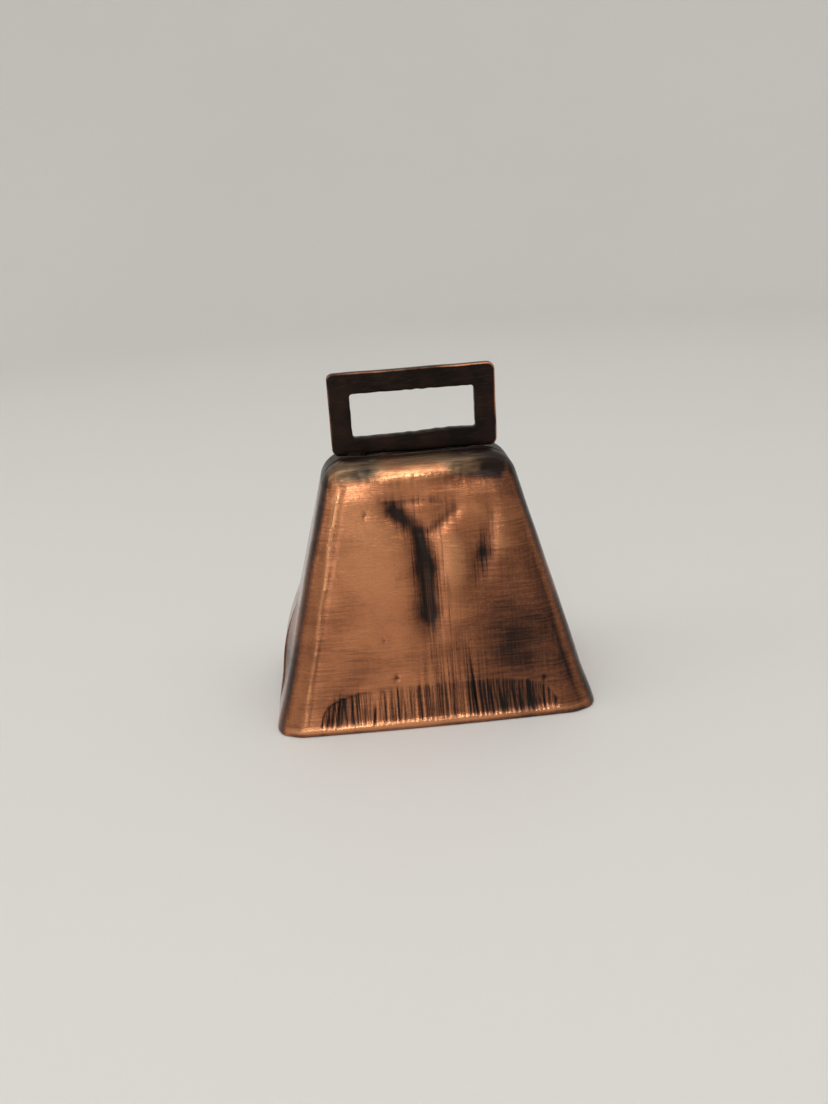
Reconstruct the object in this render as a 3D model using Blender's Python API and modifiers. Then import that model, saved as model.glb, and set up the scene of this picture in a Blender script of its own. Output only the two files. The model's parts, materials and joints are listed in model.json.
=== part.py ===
"""Small pressed-steel cowbell with a flat loop handle and a clapper hung on a chain link.

Run with: blender --background --python part.py

Frame: metres, +Z up, the bell stands on its mouth. The origin is the centre of the mouth,
+X runs along the long side of the mouth and -Y is the front of the bell.
"""
import math

import bmesh
import bpy
from mathutils import Matrix, Vector

MM = 0.001

# Bell body: outer sizes, before the corners are rounded
MOUTH_WIDTH = 50.0 * MM
MOUTH_DEPTH = 32.9 * MM
CROWN_WIDTH = 28.4 * MM
CROWN_DEPTH = 13.4 * MM
BODY_HEIGHT = 39.7 * MM
CORNER_RADIUS = 4.8 * MM
SHOULDER_RADIUS = 4.5 * MM
SHEET = 0.85 * MM

# Fits: clearance between pieces that touch, and between pieces that swing
SEAT_GAP = 0.10 * MM
SWING_GAP = 0.12 * MM

# Lapped seam between the two shells, at the crown and its growth towards the mouth
LAP_FRONT_AT_CROWN = 1.6 * MM
LAP_REAR_AT_CROWN = 2.6 * MM
LAP_SLOPE = 0.0875

# Handle: one flat stamping with a window, held by two tabs through the crown
HANDLE_WIDTH = 25.8 * MM
HANDLE_TOP = 52.7 * MM
HANDLE_SHEET = 1.5 * MM
HANDLE_BAR = 3.35 * MM
HANDLE_FOOT_BAR = 2.85 * MM
HANDLE_CORNER_RADIUS = 1.1 * MM
WINDOW_CORNER_RADIUS = 0.5 * MM
TAB_CENTRE = 9.1 * MM
TAB_WIDTH = 3.0 * MM
TAB_REACH = 3.6 * MM
TAB_BEND_RADIUS = 0.5 * MM

# Clapper: wire hanger, chain link, stem and ball
HANGER_WIRE = 1.6 * MM
HANGER_REACH = 10.9 * MM
HANGER_OFFSET = 1.75 * MM
HANGER_PIVOT_DROP = 3.05 * MM
HANGER_LOOP_HALF = 1.7 * MM
HANGER_LOOP_MOUTH = 3.1 * MM
HANGER_BEND_RADIUS = 1.2 * MM
LINK_WIRE = 1.4 * MM
LINK_RADIUS = 2.1 * MM
LINK_PITCH = 4.2 * MM
EYE_RADIUS = 1.9 * MM
EYE_THROAT_RADIUS = 1.2 * MM
EYE_END_DEG = 230.0
BALL_RADIUS = 5.5 * MM
BALL_FLAT_RADIUS = 1.9 * MM
BALL_HEIGHT = 10.0 * MM
COLLAR_RADIUS = 1.3 * MM
COLLAR_LENGTH = 0.8 * MM
PEEN_RADIUS = 1.45 * MM
PEEN_LENGTH = 0.8 * MM
PEEN_SWEEP_DEG = 60.0
HEAD_RIM = 0.2 * MM

# Smoothness of rounded shapes
BODY_ROUND_STEPS = 7
ARC_STEPS = 6
EYE_STEPS = 26
LINK_STEPS = 14
BALL_STEPS = 32
BALL_RINGS = 16
WIRE_RESOLUTION = 3
SHARP_ANGLE = math.radians(35)

# Reach of the cutters past the shapes they cut
PAST = 5.0 * MM
SPACE_DEPTH = 10.0 * MM
FLOOR_DEPTH = 15.0 * MM

# Heights that follow from the sizes above
CROWN_UNDERSIDE = BODY_HEIGHT - 2 * SHEET - SEAT_GAP
HANGER_HEIGHT = CROWN_UNDERSIDE - SEAT_GAP - HANGER_WIRE / 2
LINK_PIVOT = HANGER_HEIGHT - HANGER_PIVOT_DROP
CLAPPER_PIVOT = LINK_PIVOT - LINK_PITCH
HANDLE_FOOT = BODY_HEIGHT + SEAT_GAP
WINDOW_BOTTOM = HANDLE_FOOT + HANDLE_FOOT_BAR
WINDOW_TOP = HANDLE_TOP - HANDLE_BAR

SIDE_SLOPE = (MOUTH_WIDTH - CROWN_WIDTH) / (2 * BODY_HEIGHT)
FRONT_SLOPE = (MOUTH_DEPTH - CROWN_DEPTH) / (2 * BODY_HEIGHT)

COPPER = ((0.50, 0.27, 0.17, 1.0), 0.38, 1.0)
BLACKENED_STEEL = ((0.045, 0.032, 0.028, 1.0), 0.42, 0.8)
STEEL_WIRE = ((0.30, 0.27, 0.24, 1.0), 0.40, 1.0)
BALL_STEEL = ((0.38, 0.35, 0.32, 1.0), 0.35, 1.0)


def clear_scene():
    for old in list(bpy.data.objects):
        bpy.data.objects.remove(old, do_unlink=True)
    for old in list(bpy.data.collections):
        bpy.data.collections.remove(old)


def make_collection(name):
    collection = bpy.data.collections.new(name)
    bpy.context.scene.collection.children.link(collection)
    return collection


def make_material(name, look):
    colour, roughness, metallic = look
    material = bpy.data.materials.new(name)
    material.use_nodes = True
    shader = material.node_tree.nodes["Principled BSDF"]
    shader.inputs["Base Color"].default_value = colour
    shader.inputs["Roughness"].default_value = roughness
    shader.inputs["Metallic"].default_value = metallic
    material.diffuse_color = colour
    return material


def add_object(name, data, collection, parent=None):
    piece = bpy.data.objects.new(name, data)
    collection.objects.link(piece)
    piece.parent = parent
    return piece


def as_cutter(piece):
    piece.hide_render = True
    piece.display_type = "WIRE"
    return piece


def add_boolean(piece, operation, other):
    modifier = piece.modifiers.new(f"{operation.lower()} {other.name}", "BOOLEAN")
    modifier.operation = operation
    modifier.object = other


def finish_piece(piece, look):
    piece.data.materials.clear()
    piece.data.materials.append(make_material(f"{piece.name}_material", look))
    piece.data.shade_smooth()
    piece.data.set_sharp_from_angle(angle=SHARP_ANGLE)
    return piece


def mesh_from_curve(curve_object, collection, parent=None):
    """Turn a curve object into a closed mesh object of the same name and place."""
    name = curve_object.name
    evaluated = curve_object.evaluated_get(bpy.context.evaluated_depsgraph_get())
    mesh = bpy.data.meshes.new_from_object(evaluated)
    matrix = curve_object.matrix_world.copy()
    bpy.data.objects.remove(curve_object, do_unlink=True)
    shape = bmesh.new()
    shape.from_mesh(mesh)
    bmesh.ops.remove_doubles(shape, verts=shape.verts, dist=0.001 * MM)
    bmesh.ops.recalc_face_normals(shape, faces=shape.faces)
    shape.to_mesh(mesh)
    shape.free()
    mesh.name = name
    piece = add_object(name, mesh, collection, parent)
    piece.matrix_world = matrix
    return piece


# ---------------------------------------------------------------- outlines and paths


def arc(centre, radius, start_deg, end_deg, steps=ARC_STEPS):
    """Points of a plane arc, both ends included."""
    angles = (math.radians(start_deg + (end_deg - start_deg) * i / steps) for i in range(steps + 1))
    return [(centre[0] + radius * math.cos(a), centre[1] + radius * math.sin(a)) for a in angles]


def rounded_rectangle(half_width, low, high, radius):
    """Outline of a rectangle centred on x = 0, from low to high, anticlockwise."""
    corners = (
        (half_width, low, -90),
        (half_width, high, 0),
        (-half_width, high, 90),
        (-half_width, low, 180),
    )
    outline = []
    for x, y, start in corners:
        centre = (x - math.copysign(radius, x), y + (radius if y == low else -radius))
        outline += arc(centre, radius, start, start + 90)
    return outline


def rounded_path(points, radius):
    """A path through the points with an arc of the given radius at each inner one."""
    points = [Vector(p) for p in points]
    path = [points[0]]
    for before, corner, after in zip(points, points[1:], points[2:]):
        back = (before - corner).normalized()
        ahead = (after - corner).normalized()
        half = back.angle(ahead) / 2
        start = corner + back * radius / math.tan(half)
        centre = corner + (back + ahead).normalized() * radius / math.sin(half)
        axis = (start - centre).cross(ahead)
        turn = math.pi - 2 * half
        path += [
            centre + Matrix.Rotation(turn * i / ARC_STEPS, 3, axis) @ (start - centre)
            for i in range(ARC_STEPS + 1)
        ]
    return path + [points[-1]]


def add_flat_outline(name, outlines, thickness, collection):
    """A plate with the outlines' shape in its own XY plane, centred on that plane."""
    curve = bpy.data.curves.new(name, "CURVE")
    curve.dimensions = "2D"
    curve.fill_mode = "BOTH"
    curve.extrude = thickness / 2
    for outline in outlines:
        spline = curve.splines.new("POLY")
        spline.points.add(len(outline) - 1)
        for point, (x, y) in zip(spline.points, outline):
            point.co = (x, y, 0, 1)
        spline.use_cyclic_u = True
    return add_object(name, curve, collection)


def add_wire(name, points, diameter, collection, closed=False):
    curve = bpy.data.curves.new(name, "CURVE")
    curve.dimensions = "3D"
    curve.bevel_depth = diameter / 2
    curve.bevel_resolution = WIRE_RESOLUTION
    curve.use_fill_caps = not closed
    spline = curve.splines.new("POLY")
    spline.points.add(len(points) - 1)
    for point, place in zip(spline.points, points):
        point.co = (*place, 1)
    spline.use_cyclic_u = closed
    return add_object(name, curve, collection)


def add_turned(name, profile, collection, parent=None):
    """Turn a closed profile of (radius, height) points about its Z axis."""
    mesh = bpy.data.meshes.new(name)
    shape = bmesh.new()
    verts = [shape.verts.new((radius, 0, height)) for radius, height in profile]
    for a, b in zip(verts, verts[1:] + verts[:1]):
        shape.edges.new((a, b))
    shape.to_mesh(mesh)
    shape.free()
    piece = add_object(name, mesh, collection, parent)
    screw = piece.modifiers.new("turn", "SCREW")
    screw.steps = screw.render_steps = BALL_STEPS
    screw.use_merge_vertices = True
    screw.merge_threshold = 0.001 * MM
    return piece


# ---------------------------------------------------------------- bell shells


def half_width(z, inset):
    return MOUTH_WIDTH / 2 - SIDE_SLOPE * z - inset * math.hypot(1, SIDE_SLOPE)


def half_depth(z, inset):
    return MOUTH_DEPTH / 2 - FRONT_SLOPE * z - inset * math.hypot(1, FRONT_SLOPE)


def add_prism(name, corners, collection):
    """A block whose eight corners are given by a function of the signs of x, y and z."""
    mesh = bpy.data.meshes.new(name)
    shape = bmesh.new()
    bmesh.ops.create_cube(shape, size=2)
    for vert in shape.verts:
        vert.co = corners(*(round(c) for c in vert.co))
    shape.to_mesh(mesh)
    shape.free()
    return add_object(name, mesh, collection)


def add_bell_form(name, inset, collection):
    """The bell's solid outer form, taken in by inset all round and open past the mouth."""

    def corner(x, y, z):
        height = BODY_HEIGHT - inset if z > 0 else -PAST
        return (x * half_width(height, inset), y * half_depth(height, inset), height)

    form = add_prism(name, corner, collection)
    lean = (math.atan(SIDE_SLOPE) + math.atan(FRONT_SLOPE)) / 2
    between_panels = math.acos(math.sin(math.atan(SIDE_SLOPE)) * math.sin(math.atan(FRONT_SLOPE)))
    corner_width = (CORNER_RADIUS - inset) * math.tan(between_panels / 2)
    shoulder_width = (SHOULDER_RADIUS - inset) * math.tan((math.pi / 2 - lean) / 2)

    shape = bmesh.new()
    shape.from_mesh(form.data)
    weight = shape.edges.layers.float.new("bevel_weight_edge")
    for edge in shape.edges:
        heights = [vert.co.z for vert in edge.verts]
        if min(heights) > 0:
            edge[weight] = shoulder_width / corner_width
        elif max(heights) > 0:
            edge[weight] = 1.0
    shape.to_mesh(form.data)
    shape.free()

    bevel = form.modifiers.new("round", "BEVEL")
    bevel.limit_method = "WEIGHT"
    bevel.width = corner_width
    bevel.segments = BODY_ROUND_STEPS
    return form


def add_space_in_front_of(name, y_at_crown, slope, collection):
    """Everything in front of a plane that leans with the bell's front and rear panels."""

    def corner(x, y, z):
        height = BODY_HEIGHT + PAST if z > 0 else -SPACE_DEPTH
        near = y_at_crown + slope * (BODY_HEIGHT - height)
        return (x * MOUTH_WIDTH, near if y > 0 else -MOUTH_DEPTH, height)

    return as_cutter(add_prism(name, corner, collection))


def add_tab_slots(collection):
    """Blocks that cut the crown's slots, one for each handle tab."""
    slots = []
    for side, sign in (("left", -1), ("right", 1)):
        reach = (TAB_WIDTH / 2 + SEAT_GAP, HANDLE_SHEET / 2 + SEAT_GAP)

        def corner(x, y, z, sign=sign, reach=reach):
            height = BODY_HEIGHT + PAST / 2 if z > 0 else CROWN_UNDERSIDE - PAST / 2
            return (sign * TAB_CENTRE + x * reach[0], y * reach[1], height)

        slots.append(as_cutter(add_prism(f"slot_{side}", corner, collection)))
    return slots


def add_floor_slab(collection):
    """The block below the mouth plane."""

    def corner(x, y, z):
        return (x * MOUTH_WIDTH, y * MOUTH_DEPTH, 0.0 if z > 0 else -FLOOR_DEPTH)

    return as_cutter(add_prism("below_mouth", corner, collection))


def build_shells(pieces, cutters):
    """Two pressed shells. The front one steps in by a sheet and runs on under the rear one."""
    under_lap = SHEET + SEAT_GAP
    slots = add_tab_slots(cutters)
    floor = add_floor_slab(cutters)
    lap_edge = -LAP_FRONT_AT_CROWN

    front = add_bell_form("bell_front_shell", 0, pieces)
    rear = add_bell_form("bell_rear_shell", 0, pieces)
    hollow = as_cutter(add_bell_form("hollow", SHEET, cutters))

    seam = add_space_in_front_of("front_of_seam", lap_edge, -LAP_SLOPE, cutters)
    flange = as_cutter(add_bell_form("flange", under_lap, cutters))
    flange_end = add_space_in_front_of("front_of_flange_end", LAP_REAR_AT_CROWN, LAP_SLOPE, cutters)
    add_boolean(flange, "INTERSECT", flange_end)
    step_end = add_space_in_front_of("front_of_step", lap_edge - SHEET, -LAP_SLOPE, cutters)
    front_hollow = as_cutter(add_bell_form("front_hollow", SHEET, cutters))
    add_boolean(front_hollow, "INTERSECT", step_end)
    deep_hollow = as_cutter(add_bell_form("deep_hollow", under_lap + SHEET, cutters))

    add_boolean(front, "INTERSECT", seam)
    add_boolean(front, "UNION", flange)
    add_boolean(front, "DIFFERENCE", front_hollow)
    add_boolean(front, "DIFFERENCE", deep_hollow)

    seam_with_gap = add_space_in_front_of("front_of_rear", lap_edge + SEAT_GAP, -LAP_SLOPE, cutters)
    add_boolean(rear, "DIFFERENCE", hollow)
    add_boolean(rear, "DIFFERENCE", seam_with_gap)

    for shell in (front, rear):
        for cutter in (*slots, floor):
            add_boolean(shell, "DIFFERENCE", cutter)
        finish_piece(shell, COPPER)


# ---------------------------------------------------------------- handle


def add_tab(name, sign, collection):
    """A tab that goes down through the crown and is clinched over towards sign * Y."""
    half = HANDLE_SHEET / 2
    leg_top = HANGER_HEIGHT - HANGER_WIRE / 2 - SEAT_GAP
    bend = (half + TAB_BEND_RADIUS, leg_top + TAB_BEND_RADIUS)
    inside = arc(bend, TAB_BEND_RADIUS, 180, 270)
    outside = arc(bend, TAB_BEND_RADIUS + HANDLE_SHEET, 270, 180)
    root = HANDLE_FOOT + HANDLE_FOOT_BAR / 2
    outline = [(half, root), *inside, (TAB_REACH, leg_top), (TAB_REACH, leg_top - HANDLE_SHEET)]
    outline += [*outside, (-half, root)]
    tab = add_flat_outline(name, [[(sign * y, z) for y, z in outline]], TAB_WIDTH, collection)
    along_x = Matrix(((0, 0, 1), (1, 0, 0), (0, 1, 0))).to_4x4()
    tab.matrix_world = Matrix.Translation((-sign * TAB_CENTRE, 0, 0)) @ along_x
    bpy.context.view_layer.update()
    return as_cutter(mesh_from_curve(tab, collection))


def build_handle(pieces, cutters):
    outer = rounded_rectangle(HANDLE_WIDTH / 2, HANDLE_FOOT, HANDLE_TOP, HANDLE_CORNER_RADIUS)
    window = rounded_rectangle(
        HANDLE_WIDTH / 2 - HANDLE_BAR, WINDOW_BOTTOM, WINDOW_TOP, WINDOW_CORNER_RADIUS
    )
    plate = add_flat_outline("handle", [outer, window], HANDLE_SHEET, pieces)
    plate.rotation_euler = (math.pi / 2, 0, 0)
    bpy.context.view_layer.update()
    handle = mesh_from_curve(plate, pieces)
    for side, sign in (("left", 1), ("right", -1)):
        add_boolean(handle, "UNION", add_tab(f"tab_{side}", sign, cutters))
    finish_piece(handle, BLACKENED_STEEL)


# ---------------------------------------------------------------- clapper


def build_hanger(pieces):
    """A wire trapped between the crown and the clinched tabs, with a drop in its middle."""
    half_path = [
        (-HANGER_REACH, HANGER_OFFSET, HANGER_HEIGHT),
        (-TAB_CENTRE + TAB_WIDTH, HANGER_OFFSET, HANGER_HEIGHT),
        (-HANGER_LOOP_MOUTH, 0, HANGER_HEIGHT),
        (-HANGER_LOOP_HALF, 0, LINK_PIVOT),
    ]
    other_half = [(-x, -y, z) for x, y, z in reversed(half_path)]
    path = rounded_path(half_path + other_half, HANGER_BEND_RADIUS)
    wire = add_wire("clapper_hanger", path, HANGER_WIRE, pieces)
    bpy.context.view_layer.update()
    finish_piece(mesh_from_curve(wire, pieces), STEEL_WIRE)


def build_link(pieces, pivot):
    """An oval chain link across the hanger. Its top wire rides on the hanger's drop."""
    top_wire = (HANGER_WIRE + LINK_WIRE) / 2 + SWING_GAP
    top = arc((0, top_wire - LINK_RADIUS), LINK_RADIUS, 0, 180, LINK_STEPS)
    bottom = arc((0, LINK_RADIUS - LINK_PITCH), LINK_RADIUS, 180, 360, LINK_STEPS)
    path = [(0, y, z) for y, z in top + bottom]
    wire = add_wire("clapper_link", path, LINK_WIRE, pieces, closed=True)
    bpy.context.view_layer.update()
    link = mesh_from_curve(wire, pieces, pivot)
    link.matrix_parent_inverse = Matrix.Identity(4)
    link.location = (0, 0, 0)
    finish_piece(link, STEEL_WIRE)


def add_stem_wire(pieces, shank_end):
    """A wire bent into an eye round the link's lower bend, with a straight shank below."""
    eye_height = LINK_WIRE + SWING_GAP - EYE_RADIUS
    throat_drop = math.sqrt(EYE_RADIUS**2 + 2 * EYE_RADIUS * EYE_THROAT_RADIUS)
    throat = (EYE_THROAT_RADIUS, eye_height - throat_drop)
    meet_deg = math.degrees(math.atan2(throat_drop, -EYE_THROAT_RADIUS))
    outline = [(0, shank_end)]
    outline += arc(throat, EYE_THROAT_RADIUS, 180, meet_deg)
    outline += arc((0, eye_height), EYE_RADIUS, meet_deg - 180, EYE_END_DEG, EYE_STEPS)[1:]
    return add_wire("clapper_stem", [(x, 0, z) for x, z in outline], LINK_WIRE, pieces)


def build_clapper(pieces, cutters, pivot):
    ball_centre = BALL_HEIGHT - CLAPPER_PIVOT
    half_ball = math.sqrt(BALL_RADIUS**2 - BALL_FLAT_RADIUS**2)
    bore = LINK_WIRE / 2 + SWING_GAP

    flat_deg = math.degrees(math.acos(BALL_FLAT_RADIUS / BALL_RADIUS))
    outside = arc((0, ball_centre), BALL_RADIUS, flat_deg, -flat_deg, BALL_RINGS)
    bore_wall = [(bore, ball_centre - half_ball), (bore, ball_centre + half_ball)]
    ball = add_turned("clapper_ball", outside + bore_wall, pieces, pivot)
    finish_piece(ball, BALL_STEEL)

    collar_low = ball_centre + half_ball + SWING_GAP
    peen_high = ball_centre - half_ball - SWING_GAP
    wire = add_stem_wire(pieces, peen_high - PEEN_LENGTH / 2)
    bpy.context.view_layer.update()
    stem = mesh_from_curve(wire, pieces, pivot)
    stem.matrix_parent_inverse = Matrix.Identity(4)
    stem.location = (0, 0, 0)

    collar_profile = [
        (COLLAR_RADIUS - HEAD_RIM, collar_low + COLLAR_LENGTH),
        (COLLAR_RADIUS, collar_low + COLLAR_LENGTH - HEAD_RIM),
        (COLLAR_RADIUS, collar_low + HEAD_RIM),
        (COLLAR_RADIUS - HEAD_RIM, collar_low),
    ]
    peen_top = peen_high - HEAD_RIM
    flatness = PEEN_LENGTH / PEEN_RADIUS
    dome = arc((0, peen_top), PEEN_RADIUS, 0, -PEEN_SWEEP_DEG)
    peen_profile = [(PEEN_RADIUS - HEAD_RIM, peen_high)]
    peen_profile += [(radius, peen_top + (height - peen_top) * flatness) for radius, height in dome]
    for name, profile in (("collar", collar_profile), ("peened_head", peen_profile)):
        axis_ends = [(0, profile[-1][1]), (0, profile[0][1])]
        swell = as_cutter(add_turned(name, profile + axis_ends, cutters, pivot))
        add_boolean(stem, "UNION", swell)
    finish_piece(stem, STEEL_WIRE)


def add_pivot(name, height, collection, parent=None):
    """An empty on a joint's axis, which carries the pieces that swing about it."""
    pivot = add_object(name, None, collection, parent)
    pivot.empty_display_size = 2 * MM
    pivot.location = (0, 0, height)
    return pivot


def main():
    clear_scene()
    pieces = make_collection("cowbell")
    cutters = make_collection("cutters")
    build_shells(pieces, cutters)
    build_handle(pieces, cutters)
    build_hanger(pieces)
    link_pivot = add_pivot("link_pivot", LINK_PIVOT, pieces)
    clapper_pivot = add_pivot("clapper_pivot", CLAPPER_PIVOT - LINK_PIVOT, pieces, link_pivot)
    bpy.context.view_layer.update()
    build_link(pieces, link_pivot)
    build_clapper(pieces, cutters, clapper_pivot)


main()
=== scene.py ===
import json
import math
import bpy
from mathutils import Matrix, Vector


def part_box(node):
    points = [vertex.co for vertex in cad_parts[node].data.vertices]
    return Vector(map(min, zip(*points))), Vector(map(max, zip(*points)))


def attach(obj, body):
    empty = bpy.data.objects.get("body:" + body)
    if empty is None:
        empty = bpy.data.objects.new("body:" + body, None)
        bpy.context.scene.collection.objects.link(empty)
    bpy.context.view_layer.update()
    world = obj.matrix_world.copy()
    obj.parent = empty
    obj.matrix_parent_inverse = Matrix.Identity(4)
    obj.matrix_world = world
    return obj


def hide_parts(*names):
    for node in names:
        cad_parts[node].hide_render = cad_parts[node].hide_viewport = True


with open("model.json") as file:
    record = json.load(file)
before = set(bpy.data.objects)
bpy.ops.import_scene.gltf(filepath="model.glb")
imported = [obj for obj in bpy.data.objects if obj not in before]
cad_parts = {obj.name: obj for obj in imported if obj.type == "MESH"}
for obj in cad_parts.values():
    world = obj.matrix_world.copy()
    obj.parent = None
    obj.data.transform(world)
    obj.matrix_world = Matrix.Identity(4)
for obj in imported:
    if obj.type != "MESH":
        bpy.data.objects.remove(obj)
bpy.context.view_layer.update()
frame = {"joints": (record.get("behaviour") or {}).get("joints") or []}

# Looks of a small pressed-metal cowbell: two copper-plated shells, a stamped loop handle and
# a ball clapper on a chain link. All sizes below are in millimetres, and meshes are scaled to
# metres when they are made. +Z is up, the mouth stands on z = 0 and -Y is the front.
from types import SimpleNamespace

import bpy
import numpy as np
from mathutils import Matrix, Vector

MM = 0.001
SHARP_DEG = 50


def box_mm(*nodes):
    """Lowest and highest corner of these CAD nodes together, in millimetres."""
    boxes = [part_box(node) for node in nodes]
    low = np.min([np.array(box[0]) for box in boxes], axis=0) / MM
    high = np.max([np.array(box[1]) for box in boxes], axis=0) / MM
    return low, high


BODY_LOW, BODY_HIGH = box_mm("bell_front_shell", "bell_rear_shell")
HANDLE_LOW, HANDLE_HIGH = box_mm("handle")
HANGER_LOW, HANGER_HIGH = box_mm("clapper_hanger")
LINK_LOW, LINK_HIGH = box_mm("clapper_link")
STEM_LOW, STEM_HIGH = box_mm("clapper_stem")
BALL_LOW, BALL_HIGH = box_mm("clapper_ball")
PIVOTS = {joint["name"]: np.array(joint["pos_m"]) / MM for joint in frame["joints"]}

# Bell body. The core is the tapered block that the rounded surface is offset from
MOUTH_HALF = (BODY_HIGH[:2] - BODY_LOW[:2]) / 2
CROWN_HALF = np.array([14.2, 6.7])
BODY_HEIGHT = BODY_HIGH[2]
ROUNDING = 4.6
SLOPE_X, SLOPE_Y = (MOUTH_HALF - CROWN_HALF) / BODY_HEIGHT
CORE_TOP = BODY_HEIGHT - ROUNDING

# Sheet, its rounded edges, and the lap where the two shells meet
SHEET = 0.85
SEAT_GAP = 0.10
LIP_ROUNDING = 0.45
EDGE_ROUNDING = 0.16
LAP_FRONT_AT_CROWN = 1.6
LAP_REAR_AT_CROWN = 2.6
LAP_SLOPE = 0.0875
JOGGLE_LENGTH = 0.22
SLOT_CENTRE = 9.1
SLOT_HALF = (1.6, 0.85)

# Handle and its tabs
HANDLE_SHEET = 1.5
HANDLE_BAR = 3.35
HANDLE_FOOT_BAR = 2.85
HANDLE_FOOT = BODY_HEIGHT + SEAT_GAP
HANDLE_CORNER = 1.1
WINDOW_CORNER = 0.5
HANDLE_EDGE = 0.34
TAB_WIDTH = 3.0
TAB_REACH = 3.6
TAB_BEND_RADIUS = 0.5
TAB_CORNER = 0.3
TAB_LEG_TOP = HANDLE_LOW[2] + HANDLE_SHEET
TAB_TRIM = 0.02

# Hanger, link and clapper
HANGER_WIRE = 1.6
HANGER_BEND = 1.2
HANGER_LEG_Y = 1.75
LINK_WIRE = 1.4
STEM_WIRE = 1.4
EYE_RADIUS = 1.9
THROAT_RADIUS = 1.2
COLLAR_RADIUS = 1.3
COLLAR_HEIGHT = 0.8
COLLAR_EDGE = 0.22
PEEN_RADIUS = 1.45
PEEN_DOME = 0.62
PEEN_SWEEP_DEG = 86
PEEN_EDGE = 0.12
BALL_PLAY = 0.12
BORE_RADIUS = 0.82
BORE_CHAMFER = 0.22

# Mesh density of the shells
CORNER_COLUMNS = 8
PANEL_COLUMNS = 256
SHOULDER_ROWS = 9
WALL_ROWS = 104


# ---------------------------------------------------------------- small helpers


def smooth(low, high, value):
    """A soft step from 0 at low to 1 at high, which may be the lower of the two."""
    t = np.clip((value - low) / (high - low), 0.0, 1.0)
    return t * t * (3 - 2 * t)


def bell_curve(value, width):
    return np.exp(-((value / width) ** 2))


def unit(vectors):
    return vectors / np.maximum(np.linalg.norm(vectors, axis=-1, keepdims=True), 1e-12)


def ripple(points, wavelength, seed, waves=14):
    """Smooth random field of about -1 to 1, from plane waves in random directions."""
    rng = np.random.RandomState(seed)
    total = np.zeros(points.shape[:-1])
    for _ in range(waves):
        direction = unit(rng.normal(size=3))
        pitch = wavelength * rng.uniform(0.6, 1.7)
        total += np.sin(2 * math.pi * (points @ direction) / pitch + rng.uniform(0, 2 * math.pi))
    return total / math.sqrt(waves)


def grid_quads(rows, columns, wrap_rows=False, wrap_columns=False):
    """Quads between neighbouring points of a grid, joined end to end where it wraps."""
    index = np.arange(rows * columns).reshape(rows, columns)
    if wrap_rows:
        index = np.concatenate([index, index[:1]])
    if wrap_columns:
        index = np.concatenate([index, index[:, :1]], axis=1)
    corners = [index[:-1, :-1], index[:-1, 1:], index[1:, 1:], index[1:, :-1]]
    return np.stack([corner.ravel() for corner in corners], 1)


def join_parts(parts):
    """The points, faces and wear of several (points, faces, wear) as one."""
    faces = []
    offset = 0
    for points, part_faces, _ in parts:
        faces += [tuple(vertex + offset for vertex in face) for face in part_faces]
        offset += len(points)
    return np.concatenate([part[0] for part in parts]), faces, np.concatenate([part[2] for part in parts])


def make_mesh(name, points, faces, attributes=None):
    """A smooth-shaded object from points in millimetres, with one float attribute per name."""
    mesh = bpy.data.meshes.new(name)
    mesh.from_pydata((np.asarray(points) * MM).tolist(), [], [tuple(f) for f in faces])
    mesh.validate()
    for key, values in (attributes or {}).items():
        layer = mesh.attributes.new(key, "FLOAT", "POINT")
        layer.data.foreach_set("value", np.asarray(values, np.float32))
    mesh.shade_smooth()
    piece = bpy.data.objects.new(name, mesh)
    bpy.context.scene.collection.objects.link(piece)
    return piece


def settle(piece, body, node, material):
    """Give a piece its finish, and put it in place of a CAD node on that node's body."""
    piece.data.materials.append(material)
    piece.data.set_sharp_from_angle(angle=math.radians(SHARP_DEG))
    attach(piece, body)
    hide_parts(node)


# ---------------------------------------------------------------- marks on the panels


def strokes(x, z, lines, power=3.0):
    """Depth, 0 or more, of hollows drawn as lines: (start, end, widths, depths) for each."""
    total = np.zeros_like(x)
    for start, end, widths, depths in lines:
        start, end = np.array(start), np.array(end)
        along = end - start
        t = ((x - start[0]) * along[0] + (z - start[1]) * along[1]) / (along @ along)
        t = np.clip(t, 0, 1)
        off = np.hypot(x - start[0] - t * along[0], z - start[1] - t * along[1])
        width = widths[0] + (widths[1] - widths[0]) * t
        depth = depths[0] + (depths[1] - depths[0]) * t
        total += (depth * bell_curve(off, width)) ** power
    return total ** (1 / power)


def spots(x, z, places):
    """Soft oval spots: (x, z, half width, half height, strength) for each."""
    total = np.zeros_like(x)
    for place_x, place_z, half_width, half_height, strength in places:
        off = np.hypot((x - place_x) / half_width, (z - place_z) / half_height)
        total += strength * bell_curve(off, 1.0)
    return total


def scatter_grooves(seed, first, last, tall_from, tall_to):
    """Draw marks above the mouth: (place across the panel, width, depth, height) for each."""
    rng = np.random.RandomState(seed)
    grooves = []
    place = first
    while place < last:
        tall = tall_from < place < tall_to
        height = rng.uniform(5.0, 8.6) + (rng.uniform(0, 9.0) if tall else 0.0)
        strong = rng.uniform() < 0.3
        depth = rng.uniform(0.18, 0.28) if strong else rng.uniform(0.05, 0.13)
        grooves.append((place, rng.uniform(0.15, 0.22), depth, height))
        place += rng.uniform(0.42, 0.98)
    return grooves


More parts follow.
